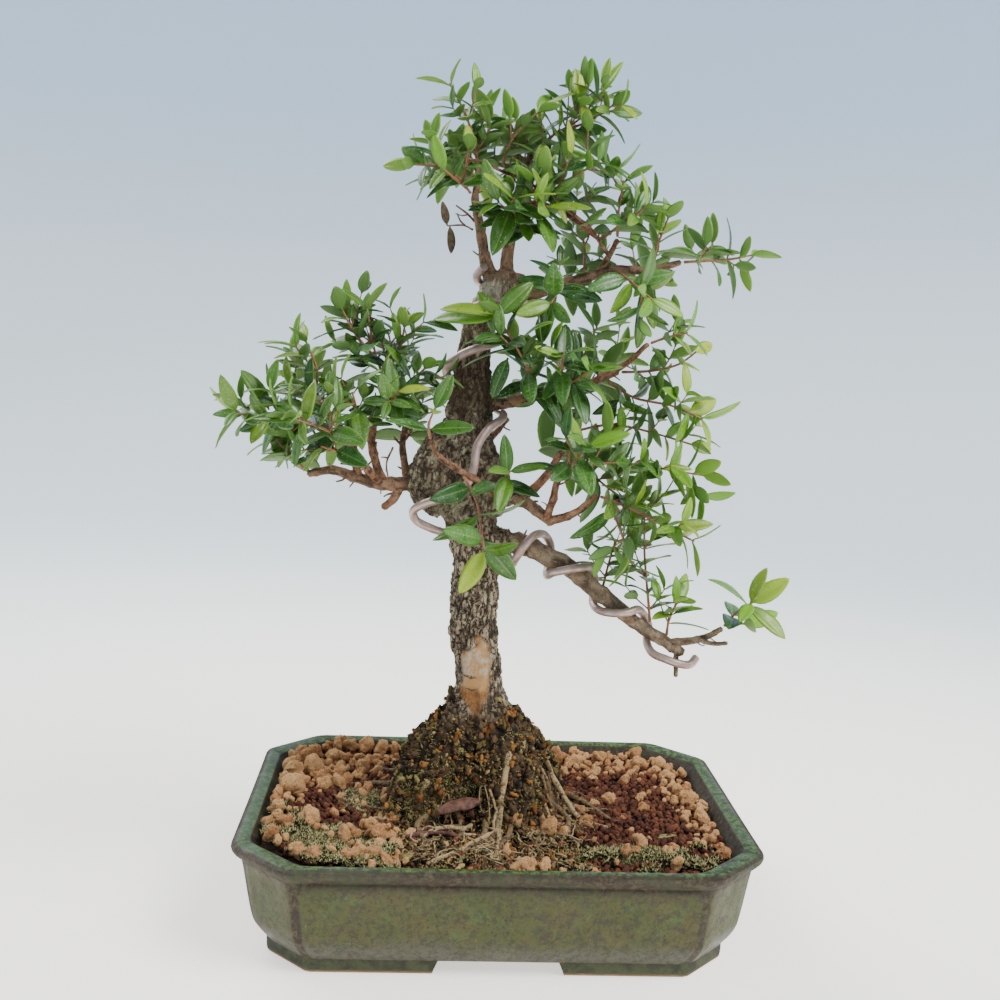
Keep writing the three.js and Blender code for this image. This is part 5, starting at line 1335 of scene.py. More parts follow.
def bark_finish(s):
    f = Finish("Bark", Roughness=0.95, Specular_IOR_Level=0.25)
    plate, flare, scar, rise = (f.value(name) for name in ("plate", "flare", "scar", "rise"))
    x, y, z = f.axes()
    fine = f.grain(1500, 6, 0.8, f.stretched((1, 1, 0.4)))
    coarse = f.grain(300, 6, 0.72)
    broad = f.grain(75, 4, 0.6)
    upright = f.warped((1, 1, 0.3), 0.004, 330)
    flakes = f.cells(430, "DISTANCE_TO_EDGE", upright)
    strips = f.grain(620, 5, 0.75, f.stretched((1, 1, 0.22)))
    face = f.mix(s.plate, (0.50, 0.42, 0.31), f.band(fine + strips * 0.6, 0.7, 1.05) * 0.85)
    face = f.mix(face, (0.15, 0.092, 0.052), f.band(coarse + broad * 0.4, 0.62, 0.86) * 0.85)
    dark = f.mix(s.fissure, (0.07, 0.044, 0.027), fine)
    open_bark = f.band(plate * 0.75 + strips * 1.1 + (fine - 0.5) * 0.5, 0.55, 0.92)
    open_bark = open_bark * f.band(flakes + (fine - 0.5) * 0.2, 0.01, 0.1)
    trunk = f.mix(dark, face, open_bark)
    on_burl = f.band(z, 0.144, 0.152) * f.band(z, 0.205, 0.192)
    trunk = f.mix(trunk, f.mix(dark, (0.13, 0.085, 0.048), f.band(coarse, 0.4, 0.65)), on_burl * 0.7)
    lichen = on_burl * f.band(coarse + broad * 0.35 + fine * 0.35, 0.84, 0.98)
    trunk = f.mix(trunk, f.mix((0.20, 0.19, 0.10), (0.52, 0.46, 0.31), fine), lichen * 0.9)
    # A near-black band on the trunk from 186 to 214 mm up
    darker_band = f.band(z, 0.186, 0.195) * f.band(z, 0.214, 0.206) * 0.75
    trunk = f.mix(trunk, f.mix((0.020, 0.013, 0.008), (0.12, 0.065, 0.03), fine), darker_band)
    pale = f.band(z, 0.21, 0.222) * 0.6
    trunk = f.mix(trunk, (0.56, 0.42, 0.25), pale * f.band(fine + coarse * 0.5, 0.6, 0.85))
    dead = f.band(z, 0.2265, 0.2295) * f.band(z, 0.2395, 0.237) * f.band(x, -0.0045, -0.008)
    pits = f.band(f.cells(620), 0.3, 0.16) * f.band(coarse, 0.46, 0.56)
    cream = f.mix((0.60, 0.50, 0.34), (0.030, 0.020, 0.012), pits)
    trunk = f.mix(trunk, cream, dead * 0.9)
    stem = f.mix((0.35, 0.20, 0.115), (0.13, 0.072, 0.042), f.band(coarse + fine * 0.3, 0.58, 0.84))
    trunk = f.mix(trunk, stem, f.band(z + (coarse - 0.5) * 0.006, 0.236, 0.243))
    # Painted shade: the root flare turns near black in the low spots of its surface, and brown where it rises
    hollow = f.band(rise + (fine - 0.5) * 0.6, -0.2, 0.3)
    base = f.mix((0.010, 0.007, 0.004), f.mix((0.045, 0.028, 0.014), (0.13, 0.082, 0.04), fine), hollow)
    base = f.mix(base, (0.36, 0.15, 0.038), f.band(f.grain(480, 4, 0.65), 0.59, 0.66) * hollow * 0.8)
    base = f.mix(base, (0.20, 0.185, 0.055), f.band(f.grain(170, 6, 0.75), 0.58, 0.68) * hollow * 0.65)
    trunk = f.mix(trunk, base, flare)
    warm = f.band(coarse * 0.5 + broad * 0.9 + fine * 0.3, 0.72, 0.95)
    low = f.band(z + (coarse - 0.5) * 0.008, 0.0868, 0.0828)
    healed = f.mix((0.52, 0.42, 0.30), (0.34, 0.26, 0.18), f.band(fine + strips * 0.5, 0.65, 0.95))
    healed = f.mix(healed, (0.45, 0.22, 0.065), warm * 0.85)
    healed = f.mix(healed, f.mix((0.30, 0.125, 0.035), (0.12, 0.052, 0.02), f.band(fine + coarse * 0.4, 0.6, 0.85)),
                   low * 0.92)
    wobble = z + (broad - 0.5) * 0.006 + (coarse - 0.5) * 0.002
    split = f.band(abs(wobble - 0.0895), 0.0005, 0.0001).most(f.band(abs(wobble - 0.0848), 0.0004, 0.0001))
    split = split * f.band(x, -0.0085, -0.0105)
    lines = (split * f.band(coarse, 0.4, 0.5)).most(f.band(strips, 0.62, 0.72) * 0.5)
    healed = f.mix(healed, (0.10, 0.06, 0.035), lines)
    trunk = f.mix(trunk, healed, scar)
    rough_bark = fine * 0.45 + coarse * 0.6 + open_bark * (1 - scar) * (1 - flare) * 0.8
    return f.done(trunk, None, rough_bark, 0.0009, 1.0)


def branch_finish(s):
    f = Finish("Branch bark", Roughness=0.8, Specular_IOR_Level=0.3)
    old, crack = f.value("old"), f.value("crack")
    fine = f.grain(1700, 5, 0.75)
    coarse = f.grain(450, 5, 0.7)
    worn = f.mix((0.37, 0.28, 0.18), (0.15, 0.085, 0.048), f.band(coarse + fine * 0.3, 0.55, 0.8))
    fresh = f.mix(s.branch, (0.36, 0.20, 0.115), f.band(coarse + fine * 0.3, 0.55, 0.85))
    base = f.mix(fresh, worn, old)
    dark = f.band(crack * 0.6 + fine * 0.6 + coarse * 0.3, 0.86, 0.58)
    base = f.mix(base, (0.030, 0.017, 0.010), dark * 0.9)
    return f.done(base, None, fine * 0.5 + coarse, 0.0006, 1.0)


def root_finish(s):
    f = Finish("Root", Roughness=0.85, Specular_IOR_Level=0.3)
    tone = f.value("tone")
    grain = f.grain(900, 4, 0.7)
    coarse = f.grain(260, 4, 0.7)
    base = f.mix((0.12, 0.068, 0.030), s.root, f.band(tone + (grain - 0.5) * 0.9, 0.25, 0.8))
    base = f.mix(base, (0.42, 0.33, 0.19), f.band(tone + (coarse - 0.5) * 0.6, 0.8, 1.0) * 0.7)
    base = f.mix(base, (0.16, 0.15, 0.05), f.band(coarse, 0.5, 0.64) * 0.6)
    base = f.mix(base, (0.025, 0.016, 0.010), f.band(grain, 0.5, 0.38) * 0.85)
    return f.done(base, None, grain, 0.0004, 1.0)


def wander(draw, start, heading, length, turn, lift):
    """A fine root that strays over the ground"""
    line = []
    x, y = start
    steps = max(6, int(length / 1.6))
    swing = draw.between(-1, 1) * turn * 0.3
    for k in range(steps):
        hump = math.sin(math.pi * k / (steps - 1)) * lift
        line.append((x, y, ground_height(x, y) + 0.7 + hump + 0.35 * math.sin(k * 1.3 + start[0])))
        swing = swing * 0.8 + draw.between(-1, 1) * turn * 0.35
        heading += swing
        x, y = x + math.cos(heading) * 1.6, y + math.sin(heading) * 1.6
    line[-1] = (line[-1][0], line[-1][1], line[-1][2] - 1.2)
    return np.array(line)


# Pale roots that show most: place, height over the ground, then radii
PALE_ROOTS = [
    [[(5, -14, -2), (4, -18, 0.6), (3, -21, 1.4), (1, -27, 1.8), (-0.3, -32, 2), (-4.5, -37, 1.8),
      (-12.6, -45, 1.6), (-25.5, -56, 1)], 1.6, 0.7],
    [[(-0.3, -32, 1.6), (0, -38, 1.6), (-0.8, -45, 1.2), (-1, -51, 0.6)], 1.0, 0.5],
    [[(-12, -33, 1.5), (-20, -34, 2.4), (-27, -38, 1.4), (-32, -45, 0.6)], 1.1, 0.5],
    [[(-26, -22, 1.4), (-37, -25, 1.8), (-47, -24, 0.9)], 1.3, 0.6],
    [[(21, -10, 1.6), (31, -17, 1.4), (42, -22, 0.8)], 1.2, 0.6],
]


def add_root_strand(skin, draw, in_front):
    """A root that runs down the flare and out over the soil"""
    a = draw.between(-1.1, -0.1) if in_front else draw.between(-math.pi, math.pi)
    f, reach = draw.between(0.74, 0.95), draw.between(1.1, 1.5)
    line = []
    while f < reach:
        x, y = flare_place(a, f)
        if not in_pot(x, y, 2):
            break
        line.append((x, y, ground_height(x, y) + draw.between(0.5, 1.6)))
        f += 0.07
        a += draw.between(-0.11, 0.11)
    if len(line) > 3:
        line = smooth(line, 3)
        thick = draw.between(0.4, 1.0)
        radii = np.linspace(thick, thick * 0.4, len(line)) * (1 + 0.25 * rough(line, 3, 5, 2))
        skin.add(tube(line, radii, 7), 0, tone=draw())


# The dead stick: place and height over the ground
STICK = [(-33.6, -38.8, 1.5), (-28, -37.2, 1.9), (-20, -36.6, 1.8), (-13.9, -38, 1.2)]
# A long bare twig across the crown, and others, as points with a radius at each end
BARE = [
    [[(34, 2, 250.5), (31.5, -2, 252.5), (24, -5, 260.5), (10, -6, 269.5), (1, -6, 274.8), (-13, -5, 280),
      (-26.5, -5, 283.8)], 0.85, 0.5],
    [[(-17.5, -3, 257), (-21, -6, 258), (-27, -7, 257.6)], 0.42, 0.28],
    [[(-17, -2, 260), (-20, -5, 262.5), (-24, -7, 265)], 0.55, 0.35],
    [[(-13.5, 0, 263), (-5, 0, 260), (6, 0, 257)], 0.9, 0.6],
    [[(-44, -8, 176), (-46, -13, 171), (-45, -16, 165)], 0.5, 0.3],
    [[(-50, -10, 178), (-51, -15, 172), (-55, -18, 168)], 0.45, 0.3],
    [[(24, 2, 184), (22, -6, 190), (25, -10, 197)], 0.5, 0.3],
]
# Single leaves: base, tip, the way that the upper side faces, and how young or dry each is
STRAYS = [
    [(-8, -17, 226), (-27, -18, 232), (0.1, -0.75, 0.65), 0.8, 0],
    [(-8, -17, 225.5), (-31, -15, 227), (0, -0.6, 0.8), 0.85, 0],
    [(-7.5, -17, 226), (4.5, -16, 239.5), (-0.4, -0.9, 0.1), 0.45, 0],
    [(-3, -13, 211), (-9, -17, 197), (0.1, -1, 0.2), 0.15, 0],
    [(5, -5, 300.5), (19, -7, 311), (-0.3, -0.5, 0.8), 0.7, 0],
    [(28, 4, 309), (34, 3, 322), (-0.5, -0.8, 0.3), 0.9, 0],
    [(-88, -21, 189), (-96, -22, 204), (0.5, -0.8, 0.3), 0.6, 0],
    [(91.5, -19, 124), (94.5, -20, 138), (-0.6, -0.8, 0.1), 0.6, 0],
    [(-27, -7, 257.7), (-28.5, -9, 266), (0.5, -0.8, 0.1), 0, 1],
    [(-26, -7, 257.5), (-24, -9, 248), (0.4, -0.9, 0.1), 0, 1],
]


# The wire
def nearest_wood(points, woods):
    """For each bit of round wood, the nearest place on its middle line and the wood's radius there"""
    a, b, ra, rb = woods
    ab = b - a
    t = ((points[:, None, :] - a) * ab).sum(-1) / (ab * ab).sum(-1)
    t = np.clip(t, 0, 1)
    near = a + ab * t[..., None]
    return near, ra + (rb - ra) * t


def capsules_of(line, start, end):
    """The spans of a line as round wood: ends and radii"""
    line = np.asarray(line, float)
    run = runs(line)
    radii = start + (end - start) * run / run[-1]
    return [(line[i], line[i + 1], radii[i], radii[i + 1]) for i in range(len(line) - 1)]


def listed_wood():
    """Round wood that wire and leaves stay clear of, with its owner"""
    woods = []
    for points, start, end in LIMBS.values():
        woods += [(*c, "trunk") for c in capsules_of(points, start, end)]
    for a, b in zip(TRUNK_LEVELS, TRUNK_LEVELS[1:]):
        woods.append((np.array([a[1], a[2], a[0]], float), np.array([b[1], b[2], b[0]], float),
                      max(a[3], a[4]), max(b[3], b[4]), "core"))
    for at, half in BURL:
        heart = np.array([0, 0, half[2] - half[1]], float)
        woods.append((np.array(at) - heart, np.array(at) + heart, half[1], half[1], "core"))
    return woods


def settled_wire(woods):
    thick = [w for w in woods if w[2] > 1.9]
    settled = []
    for p in WIRE_ROUTE:
        place = np.array(p, float)
        for _ in range(3):
            for a, b, ra, rb, _owner in thick:
                ab = b - a
                t = min(1, max(0, (place - a).dot(ab) / ab.dot(ab)))
                near, radius = a + ab * t, ra + (rb - ra) * t
                away = place - near
                lack = radius + WIRE_RADIUS + WIRE_STANDOFF - np.linalg.norm(away)
                if lack > 0:
                    place = place + unit(away) * lack
        settled.append(place)
    return np.array(settled)


def centripetal(points, steps):
    """A centripetal Catmull-Rom line through points"""
    p = [2 * points[0] - points[1], *points, 2 * points[-1] - points[-2]]
    line = []
    for i in range(1, len(p) - 2):
        d0, d1, d2 = (math.sqrt(np.linalg.norm(p[i + k] - p[i + k - 1])) for k in (0, 1, 2))
        t0 = ((p[i] - p[i - 1]) / d0 - (p[i + 1] - p[i - 1]) / (d0 + d1) + (p[i + 1] - p[i]) / d1) * d1
        t1 = ((p[i + 1] - p[i]) / d1 - (p[i + 2] - p[i]) / (d1 + d2) + (p[i + 2] - p[i + 1]) / d2) * d1
        for k in range(steps):
            t = k / steps
            line.append(p[i] + t0 * t + (3 * (p[i + 1] - p[i]) - 2 * t0 - t1) * t * t
                        + (2 * (p[i] - p[i + 1]) + t0 + t1) * t ** 3)
    return np.array(line + [p[-2]])


def wire_finish(s):
    f = Finish("Anodised wire", Metallic=0.7, Roughness=0.45)
    grain = f.grain(260, 4, 0.6)
    fine = f.grain(1800, 3, 0.7)
    base = f.mix(s.metal, (0.38, 0.25, 0.21), f.band(grain, 0.42, 0.68))
    base = f.mix(base, (0.34, 0.26, 0.22), f.band(fine, 0.6, 0.75) * 0.4)
    return f.done(base, f.band(grain, 0.3, 0.7, 0.38, 0.55), fine, 0.00008, 0.5)


# The leaves
TURNS = [(0, 0, 1), (18, 0, 1), (-18, 0, 1), (0, 14, 1), (0, -14, 1), (34, 0, 0.95), (-34, 0, 0.95),
         (0, 28, 0.9), (34, 16, 0.85), (-34, 16, 0.85)]
STATIONS = [(0.3, -0.8), (0.3, 0), (0.3, 0.8), (0.5, -0.8), (0.5, 0), (0.5, 0.8), (0.7, -0.8), (0.7, 0),
            (0.7, 0.8), (1, 0)]
# Room for the places kept on all leaves, ten on each, and the clearances of first and later pairs
SAMPLES = 30000
BASE_CLEAR = {"wood": 1.5, "other": 2.9, "own": 1.8}
FILL_CLEAR = {"wood": 0.6, "other": 1.15, "own": 0.95}


def blade_width(t):
    return np.abs(np.sin(np.pi * t ** 0.92)) ** 0.62


def blade_point(leaf, t, across):
    base, axis, normal, length = leaf[:4]
    side = np.cross(axis, normal)
    half = length * LEAF_HALF * blade_width(t) * across
    rise = LEAF_FOLD * abs(half) - LEAF_DROOP * length * t * t
    return base + axis * length * t + side * half + normal * rise


def leaf_at(point, tangent, out, angle, length):
    b = math.radians(angle)
    axis = unit(tangent * math.cos(b) + out * math.sin(b))
    normal = tangent * math.sin(b) - out * math.cos(b) + np.array([0, 0, UPWARD])
    return point, axis, unit(normal - axis * normal.dot(axis)), length


def frames_along(line, stops):
    first = along(line, 0)[1]
    side = np.array([1.0, 0, 0]) if abs(first[2]) > 0.85 else np.cross([0, 0, 1.0], first)
    frames = []
    for s in stops:
        point, tangent = along(line, s)
        side = unit(side - tangent * side.dot(tangent))
        frames.append((point, tangent, side, np.cross(tangent, side)))
    return frames


def around(frame, degrees):
    a = math.radians(degrees)
    return frame[2] * math.cos(a) + frame[3] * math.sin(a)


class Crown:
    """The leafy shoots, with what each new leaf has to stay clear of"""

    def __init__(self):
        woods = listed_wood()
        self.wire = settled_wire(woods)
        self.woods = woods
        self.lines = [self.shoot_lines(shoots) for _, _, shoots in SPRAYS]
        woods += [(*c, "wire") for c in capsules_of(self.wire, WIRE_RADIUS, WIRE_RADIUS)]
        for (name, _, _), shoots in zip(SPRAYS, self.lines):
            for line in shoots:
                woods += [(*c, name) for c in capsules_of(line, *TWIG)]
        self.owners = {name: k for k, name in enumerate(["trunk", "core", "wire"] + [row[0] for row in SPRAYS])}
        self.gather()
        self.blades = np.zeros((SAMPLES, 3))
        self.blade_t = np.zeros(SAMPLES)
        self.blade_owner = np.zeros(SAMPLES, int)
        self.count = 0
        self.leaves = {row[0]: [] for row in SPRAYS}
        self.twigs = {row[0]: [(line, *TWIG) for line in lines] for row, lines in zip(SPRAYS, self.lines)}

    def gather(self):
        self.packed = tuple(np.array([w[k] for w in self.woods], float) for k in range(4))
        self.wood_owner = np.array([self.owners[w[4]] for w in self.woods])

    def clear_start(self, line):
        woods = [w for w in self.woods if w[4] in ("trunk", "core")]
        packed = tuple(np.array([w[k] for w in woods], float) for k in range(4))
        s = 0.0
        while s < line_length(line):
            point, tangent = along(line, s)
            near, radius = nearest_wood(point[None], packed)
            away = point - near[0]
            distance = np.linalg.norm(away, axis=1)
            lean = (away @ tangent) / np.maximum(distance, 1e-9)
            if (distance - TWIG[0] * np.sqrt(np.maximum(0, 1 - lean * lean)) > radius[0] + 0.36).all():
                return s
            s += 0.1
        return 0.0

    def shoot_lines(self, shoots):
        lines = []
        for i, points in enumerate(shoots):
            if i == 0:
                line = smooth(points, 2)
                start = self.clear_start(line)
                lines.append(np.array([along(line, start)[0], *line[runs(line) > start + 0.8]]))
                continue
            main = lines[0]
            mark = np.array(points[0], float)
            stops = np.arange(0.6, line_length(main) - 0.6, 0.2)
            best = min((along(main, s)[0] for s in stops), key=lambda p: np.linalg.norm(p - mark))
            lines.append(smooth([best, *points[1:]], 2))
        return lines

    def fits(self, samples, owner, clear):
        t = np.array([s[0] for s in STATIONS])
        mine = self.owners[owner]
        near, radius = nearest_wood(samples, self.packed)
        far = np.linalg.norm(samples[:, None, :] - near, axis=-1)
        skip = (t[:, None] < 0.45) & (self.wood_owner == mine)
        if ((far < radius + clear["wood"]) & ~skip).any():
            return False
        if not self.count:
            return True
        blades, times, owners = (a[:self.count] for a in (self.blades, self.blade_t, self.blade_owner))
        close = np.abs(blades - samples[4]).max(1) < 32
        blades, times, owners = blades[close], times[close], owners[close]
        far = np.linalg.norm(samples[:, None, :] - blades, axis=-1)
        own = owners == mine
        skip = own & ((t[:, None] < 0.45) | (times < 0.45))
        return not ((far < np.where(own, clear["own"], clear["other"])) & ~skip).any()

    def place(self, owner, frame, facet, lean, turn_by, lean_by, length, clear, youth_and_light):
        for turn, lift, shrink in TURNS if clear is BASE_CLEAR else TURNS[:7]:
            out = around(frame, 90 * facet + max(-40, min(40, turn_by + turn)))
            leaf = leaf_at(frame[0], frame[1], out, max(24, min(96, lean + lean_by + lift)), length * shrink)
            samples = np.array([blade_point(leaf, t, across) for t, across in STATIONS])
            if self.fits(samples, owner, clear):
                n = self.count
                self.blades[n:n + 10] = samples
                self.blade_t[n:n + 10] = [s[0] for s in STATIONS]
                self.blade_owner[n:n + 10] = self.owners[owner]
                self.count += 10
                self.leaves[owner].append((*leaf, youth_and_light))
                return True
        return False

    def grow(self, name, scale, line, draw):
        """The leaf pairs that the part's own sprays have"""
        total = line_length(line)
        stops = []
        s = FIRST_PAIR
        while s < total - 3.4:
            stops.append(s)
            s += PAIR_SPACING * (0.9 + 0.2 * draw())
        stops.append(total - 0.7)
        for i, frame in enumerate(frames_along(line, stops)):
            reach = stops[i] / total
            last = i == len(stops) - 1
            full = 0.82 if last else 0.82 + 0.28 * math.sin(math.pi * reach)
            lean = 42 if last else 76 - 16 * reach
            for facet in (i % 2, i % 2 + 2):
                length = LEAF_LENGTH * scale * full * (0.86 + 0.28 * draw())
                turn_by = 24 * (draw() - 0.5)
                lean_by = 16 * (draw() - 0.5)
                youth_and_light = newness_and_light_at(frame[0], reach)
                self.place(name, frame, facet, lean, turn_by, lean_by, length, BASE_CLEAR, youth_and_light)
        return stops

    def fill(self, name, scale, line, stops, draw):
        """More pairs between the first ones, and short side shoots with pairs of their own"""
        total = line_length(line)
        middles = [(a + b) / 2 for a, b in zip([0.5] + stops, stops) if b - a > 4.5]
        for k, (s, frame) in enumerate(zip(middles, frames_along(line, middles))):
            for facet in (k % 2 + 0.5, k % 2 + 2.5):
                length = LEAF_LENGTH * scale * draw.between(0.62, 0.95)
                turn_by, lean_by = 30 * (draw() - 0.5), 20 * (draw() - 0.5)
                youth_and_light = newness_and_light_at(frame[0], s / total)
                self.place(name, frame, facet, 58, turn_by, lean_by, length, FILL_CLEAR, youth_and_light)
        for s, frame in zip(stops[:-1], frames_along(line, stops[:-1])):
            facets = (draw() * 4, draw() * 4)
            for facet in facets[:1] if name.startswith(OPEN) else facets:
                self.side_shoot(name, scale, frame, facet, draw)

    def side_shoot(self, name, scale, frame, facet, draw):
        out = around(frame, 90 * facet)
        way = unit(frame[1] * 0.65 + out + np.array([0, 0, 0.35]))
        length = draw.between(7, 13)
        half, full = way * length * 0.5, way * length + np.array([0, 0, 1.2])
        line = smooth([frame[0], frame[0] + half, frame[0] + full], 3)
        start = len(self.leaves[name])
        stops = [length * 0.5, line_length(line) - 0.4]
        for k, spot in enumerate(frames_along(line, stops)):
            for turn in (k, k + 2):
                size_by = LEAF_LENGTH * scale * draw.between(0.55, 0.85)
                turn_by, lean_by = 24 * (draw() - 0.5), 18 * (draw() - 0.5)
                youth_and_light = newness_and_light_at(spot[0], 0.45 + 0.4 * k)
                self.place(name, spot, turn, 52 if k == 0 else 34, turn_by, lean_by, size_by, FILL_CLEAR, youth_and_light)
        if len(self.leaves[name]) > start + 1:
            self.twigs[name].append((line, 0.5, 0.3))
            self.woods += [(*c, name) for c in capsules_of(line[::3], 0.5, 0.3)]
            self.gather()
        else:
            self.count -= 10 * (len(self.leaves[name]) - start)
            del self.leaves[name][start:]

    def build(self):
        grown = []
        for i, ((name, scale, _), lines) in enumerate(zip(SPRAYS, self.lines)):
            draw = Draws(100 + i)
            grown.append([self.grow(name, scale, line, draw) for line in lines])
        for i, ((name, scale, _), lines) in enumerate(zip(SPRAYS, self.lines)):
            draw = Draws(500 + i)
            if name in SPARSE:
                continue
            for line, stops in zip(lines, grown[i]):
                self.fill(name, scale, line, stops, draw)


def newness_and_light_at(point, reach):
    """How young a leaf looks, from its place in the crown and along its shoot. Its place in the crown also paints
    light and shade: leaves high up, outside and on the right turn lighter and yellower, those low down darker
    """
    x, y, z = point
    outer = eased(np.hypot(x + 12, y) / 60, 0.35, 1.3)
    high = eased(z, 240, 300)
    right = eased(x, 20, 70) * (1 - eased(z, 215, 235))
    towards_tip = 0.45 * max(0, reach - 0.4) / 0.6
    return float(0.02 + towards_tip + 0.1 * outer + 0.22 * high + 0.4 * right - 0.1 * (z < 120))


BLADE_ROWS = (0.0, 0.06, 0.15, 0.27, 0.41, 0.55, 0.69, 0.82, 0.93)
BLADE_COLUMNS = (-1, -0.62, -0.25, 0, 0.25, 0.62, 1)


def add_blade(skin, leaf, draw, thickness):
    """One leaf: an arched blade with a grooved rib, closed all round"""
    base, axis, normal, length, youth_and_light = leaf
    side = np.cross(axis, normal)
    curl = draw.between(-0.06, 0.16) * (1 - 0.5 * youth_and_light)
    roll = draw.between(-0.42, 0.42)
    stay, swing = math.cos(roll), math.sin(roll)
    normal, side = normal * stay + side * swing, side * stay - normal * swing
    twist = draw.between(-0.3, 0.3)
    wave = draw.between(0.1, 0.4)
    phase = draw() * 6
    t = np.array(BLADE_ROWS)[:, None]
    c = np.array(BLADE_COLUMNS)[None, :]
    wide = LEAF_HALF * length * draw.between(0.88, 1.06) * blade_width(t)
    wide = wide * eased(t, -0.04, 0.2) * (1 - 0.12 * t ** 5)
    wide = np.maximum(wide, 0.42 * (1 - t) ** 0.5 * (t < 0.1))
    half = wide * c
    rise = LEAF_FOLD * np.abs(half) - LEAF_DROOP * length * t * t - 0.2 * (c == 0) * (t > 0.04)
    ripple = wave * 0.3 * np.sin(9 * t + phase + 1.5 * np.sign(c)) * np.abs(c)
    rise = rise - curl * length * t ** 3 + twist * half * t + ripple
    rise = rise - 0.09 * wide * np.abs(c) ** 4
    forward = length * t + 0 * c
    thick = thickness * (1 - 0.55 * np.abs(c)) * (0.7 + 0.3 * (1 - t))
    top = base + axis * forward[..., None] + side * half[..., None] + normal * rise[..., None]
    under = top - normal * thick[..., None]
    rings = np.concatenate([top[:, ::-1], under[:, 1:-1:2]], axis=1)
    tip = base + axis * length + normal * (-LEAF_DROOP * length - curl * length)
    count, sides = rings.shape[:2]
    across = np.concatenate([np.array(BLADE_COLUMNS)[::-1], np.array(BLADE_COLUMNS)[1:-1:2]])
    below = np.concatenate([[0.5], np.zeros(5), [0.5], np.ones(3)])
    points, faces = stacked(rings, base - normal * 0.1, tip)
    shade = draw()
    age = float(np.clip(youth_and_light + draw.between(-0.2, 0.2) + 0.4 * draw() ** 8, 0, 1))
    skin.add((points, faces), 1, age=age, shade=shade,
             across=np.append(np.tile(across, count), [0, 0]), under=np.append(np.tile(below, count), [0, 0.5]),
             reach=np.append(np.repeat(BLADE_ROWS, sides), [0, 1.0]))


def add_stray(skin, row, draw, thickness):
    """A single leaf from its base to its tip"""
    base, tip, facing = (np.array(v, float) for v in row[:3])
    axis = unit(tip - base)
    normal = unit(facing - axis * float(np.dot(facing, axis)))
    add_blade(skin, (base, axis, normal, float(np.linalg.norm(tip - base)), row[3]), draw, thickness)


def dry_finish(name, pale, deep):
    f = Finish(name, Roughness=0.6, Specular_IOR_Level=0.3)
    across = f.value("across")
    grain = f.grain(520, 5, 0.7)
    base = f.mix(deep, pale, f.band(grain, 0.36, 0.64))
    return f.done(f.mix(base, pale, (1 - f.band(abs(across), 0.03, 0.14)) * 0.6), None, grain, 0.0004, 0.8)


def add_twig(skin, line, start, end, stops_seed):
    fine = smooth(line, 3)
    run = np.linspace(0, 1, len(fine))
    radii = (start + (end - start) * run) * 0.74 * (1 + 0.2 * rough(fine, 1.6, stops_seed, 2))
    skin.add(tube(fine, radii, 7), 0, age=0.4 + 0.5 * run.mean())


def leaf_finish(s):
    f = Finish("Leaf", Roughness=0.33, Specular_IOR_Level=0.42, Subsurface_Weight=0.12,
               Subsurface_Scale=0.0008)
    f.shader.inputs["Subsurface Radius"].default_value = (0.6, 1.0, 0.25)
    age, shade, across, under, reach = (f.value(n) for n in ("age", "shade", "across", "under", "reach"))
    middle = f.grain(260, 3, 0.5)
    fine = f.grain(1400, 4, 0.7)
    old = f.mix(s.old_dark, s.old_light, f.band(shade * 0.75 + middle * 0.5, 0.2, 0.9))
    new = f.mix(s.new_green, s.new_yellow, f.band(shade * 0.8 + reach * 0.2, 0.25, 1.0))
    # age carries real youth and also painted light and shade from the leaf's place in the crown
    base = f.mix(old, new, f.band(age, 0.15, 1.0))
    rib = 1 - f.band(abs(across), 0.02, 0.13)
    veins = f.band((reach * 62.0 - abs(across) * 9.0).wave(), 0.75, 1.0) * (1 - f.band(abs(across), 0.75, 1.0))
    base = f.mix(base, f.mix((0.22, 0.34, 0.11), s.new_yellow, age), rib * 0.36 + veins * 0.08)
    base = f.mix(base, (0.30, 0.42, 0.12), f.band(abs(across), 0.88, 0.99) * 0.35)
    spots = f.band(f.cells(900), 0.24, 0.1) * f.band(f.grain(110, 3, 0.6), 0.5, 0.62)
    chalk = f.band(fine, 0.5, 0.72) * f.band(middle + shade * 0.3, 0.58, 0.8)
    base = f.mix(base, (0.62, 0.68, 0.55), (spots * 0.75).most(chalk * 0.4) * (1 - age * 0.6))
    base = f.mix(base, f.mix(s.under, s.new_green, age * 0.6), f.band(under, 0.55, 0.95) * 0.8)
    roughness = f.band(middle, 0.35, 0.65, 0.26, 0.44) + under * 0.3
    return f.done(base, roughness, veins * 0.25 + fine * 0.18 - rib * 0.2, 0.00012, 0.7)


def twig_finish(s):
    f = Finish("Young twig", Roughness=0.6, Specular_IOR_Level=0.4)
    grain = f.grain(900, 4, 0.7)
    base = f.mix(s.young, (0.36, 0.17, 0.085), f.band(grain, 0.4, 0.65))
    return f.done(base, None, grain, 0.0002, 0.7)


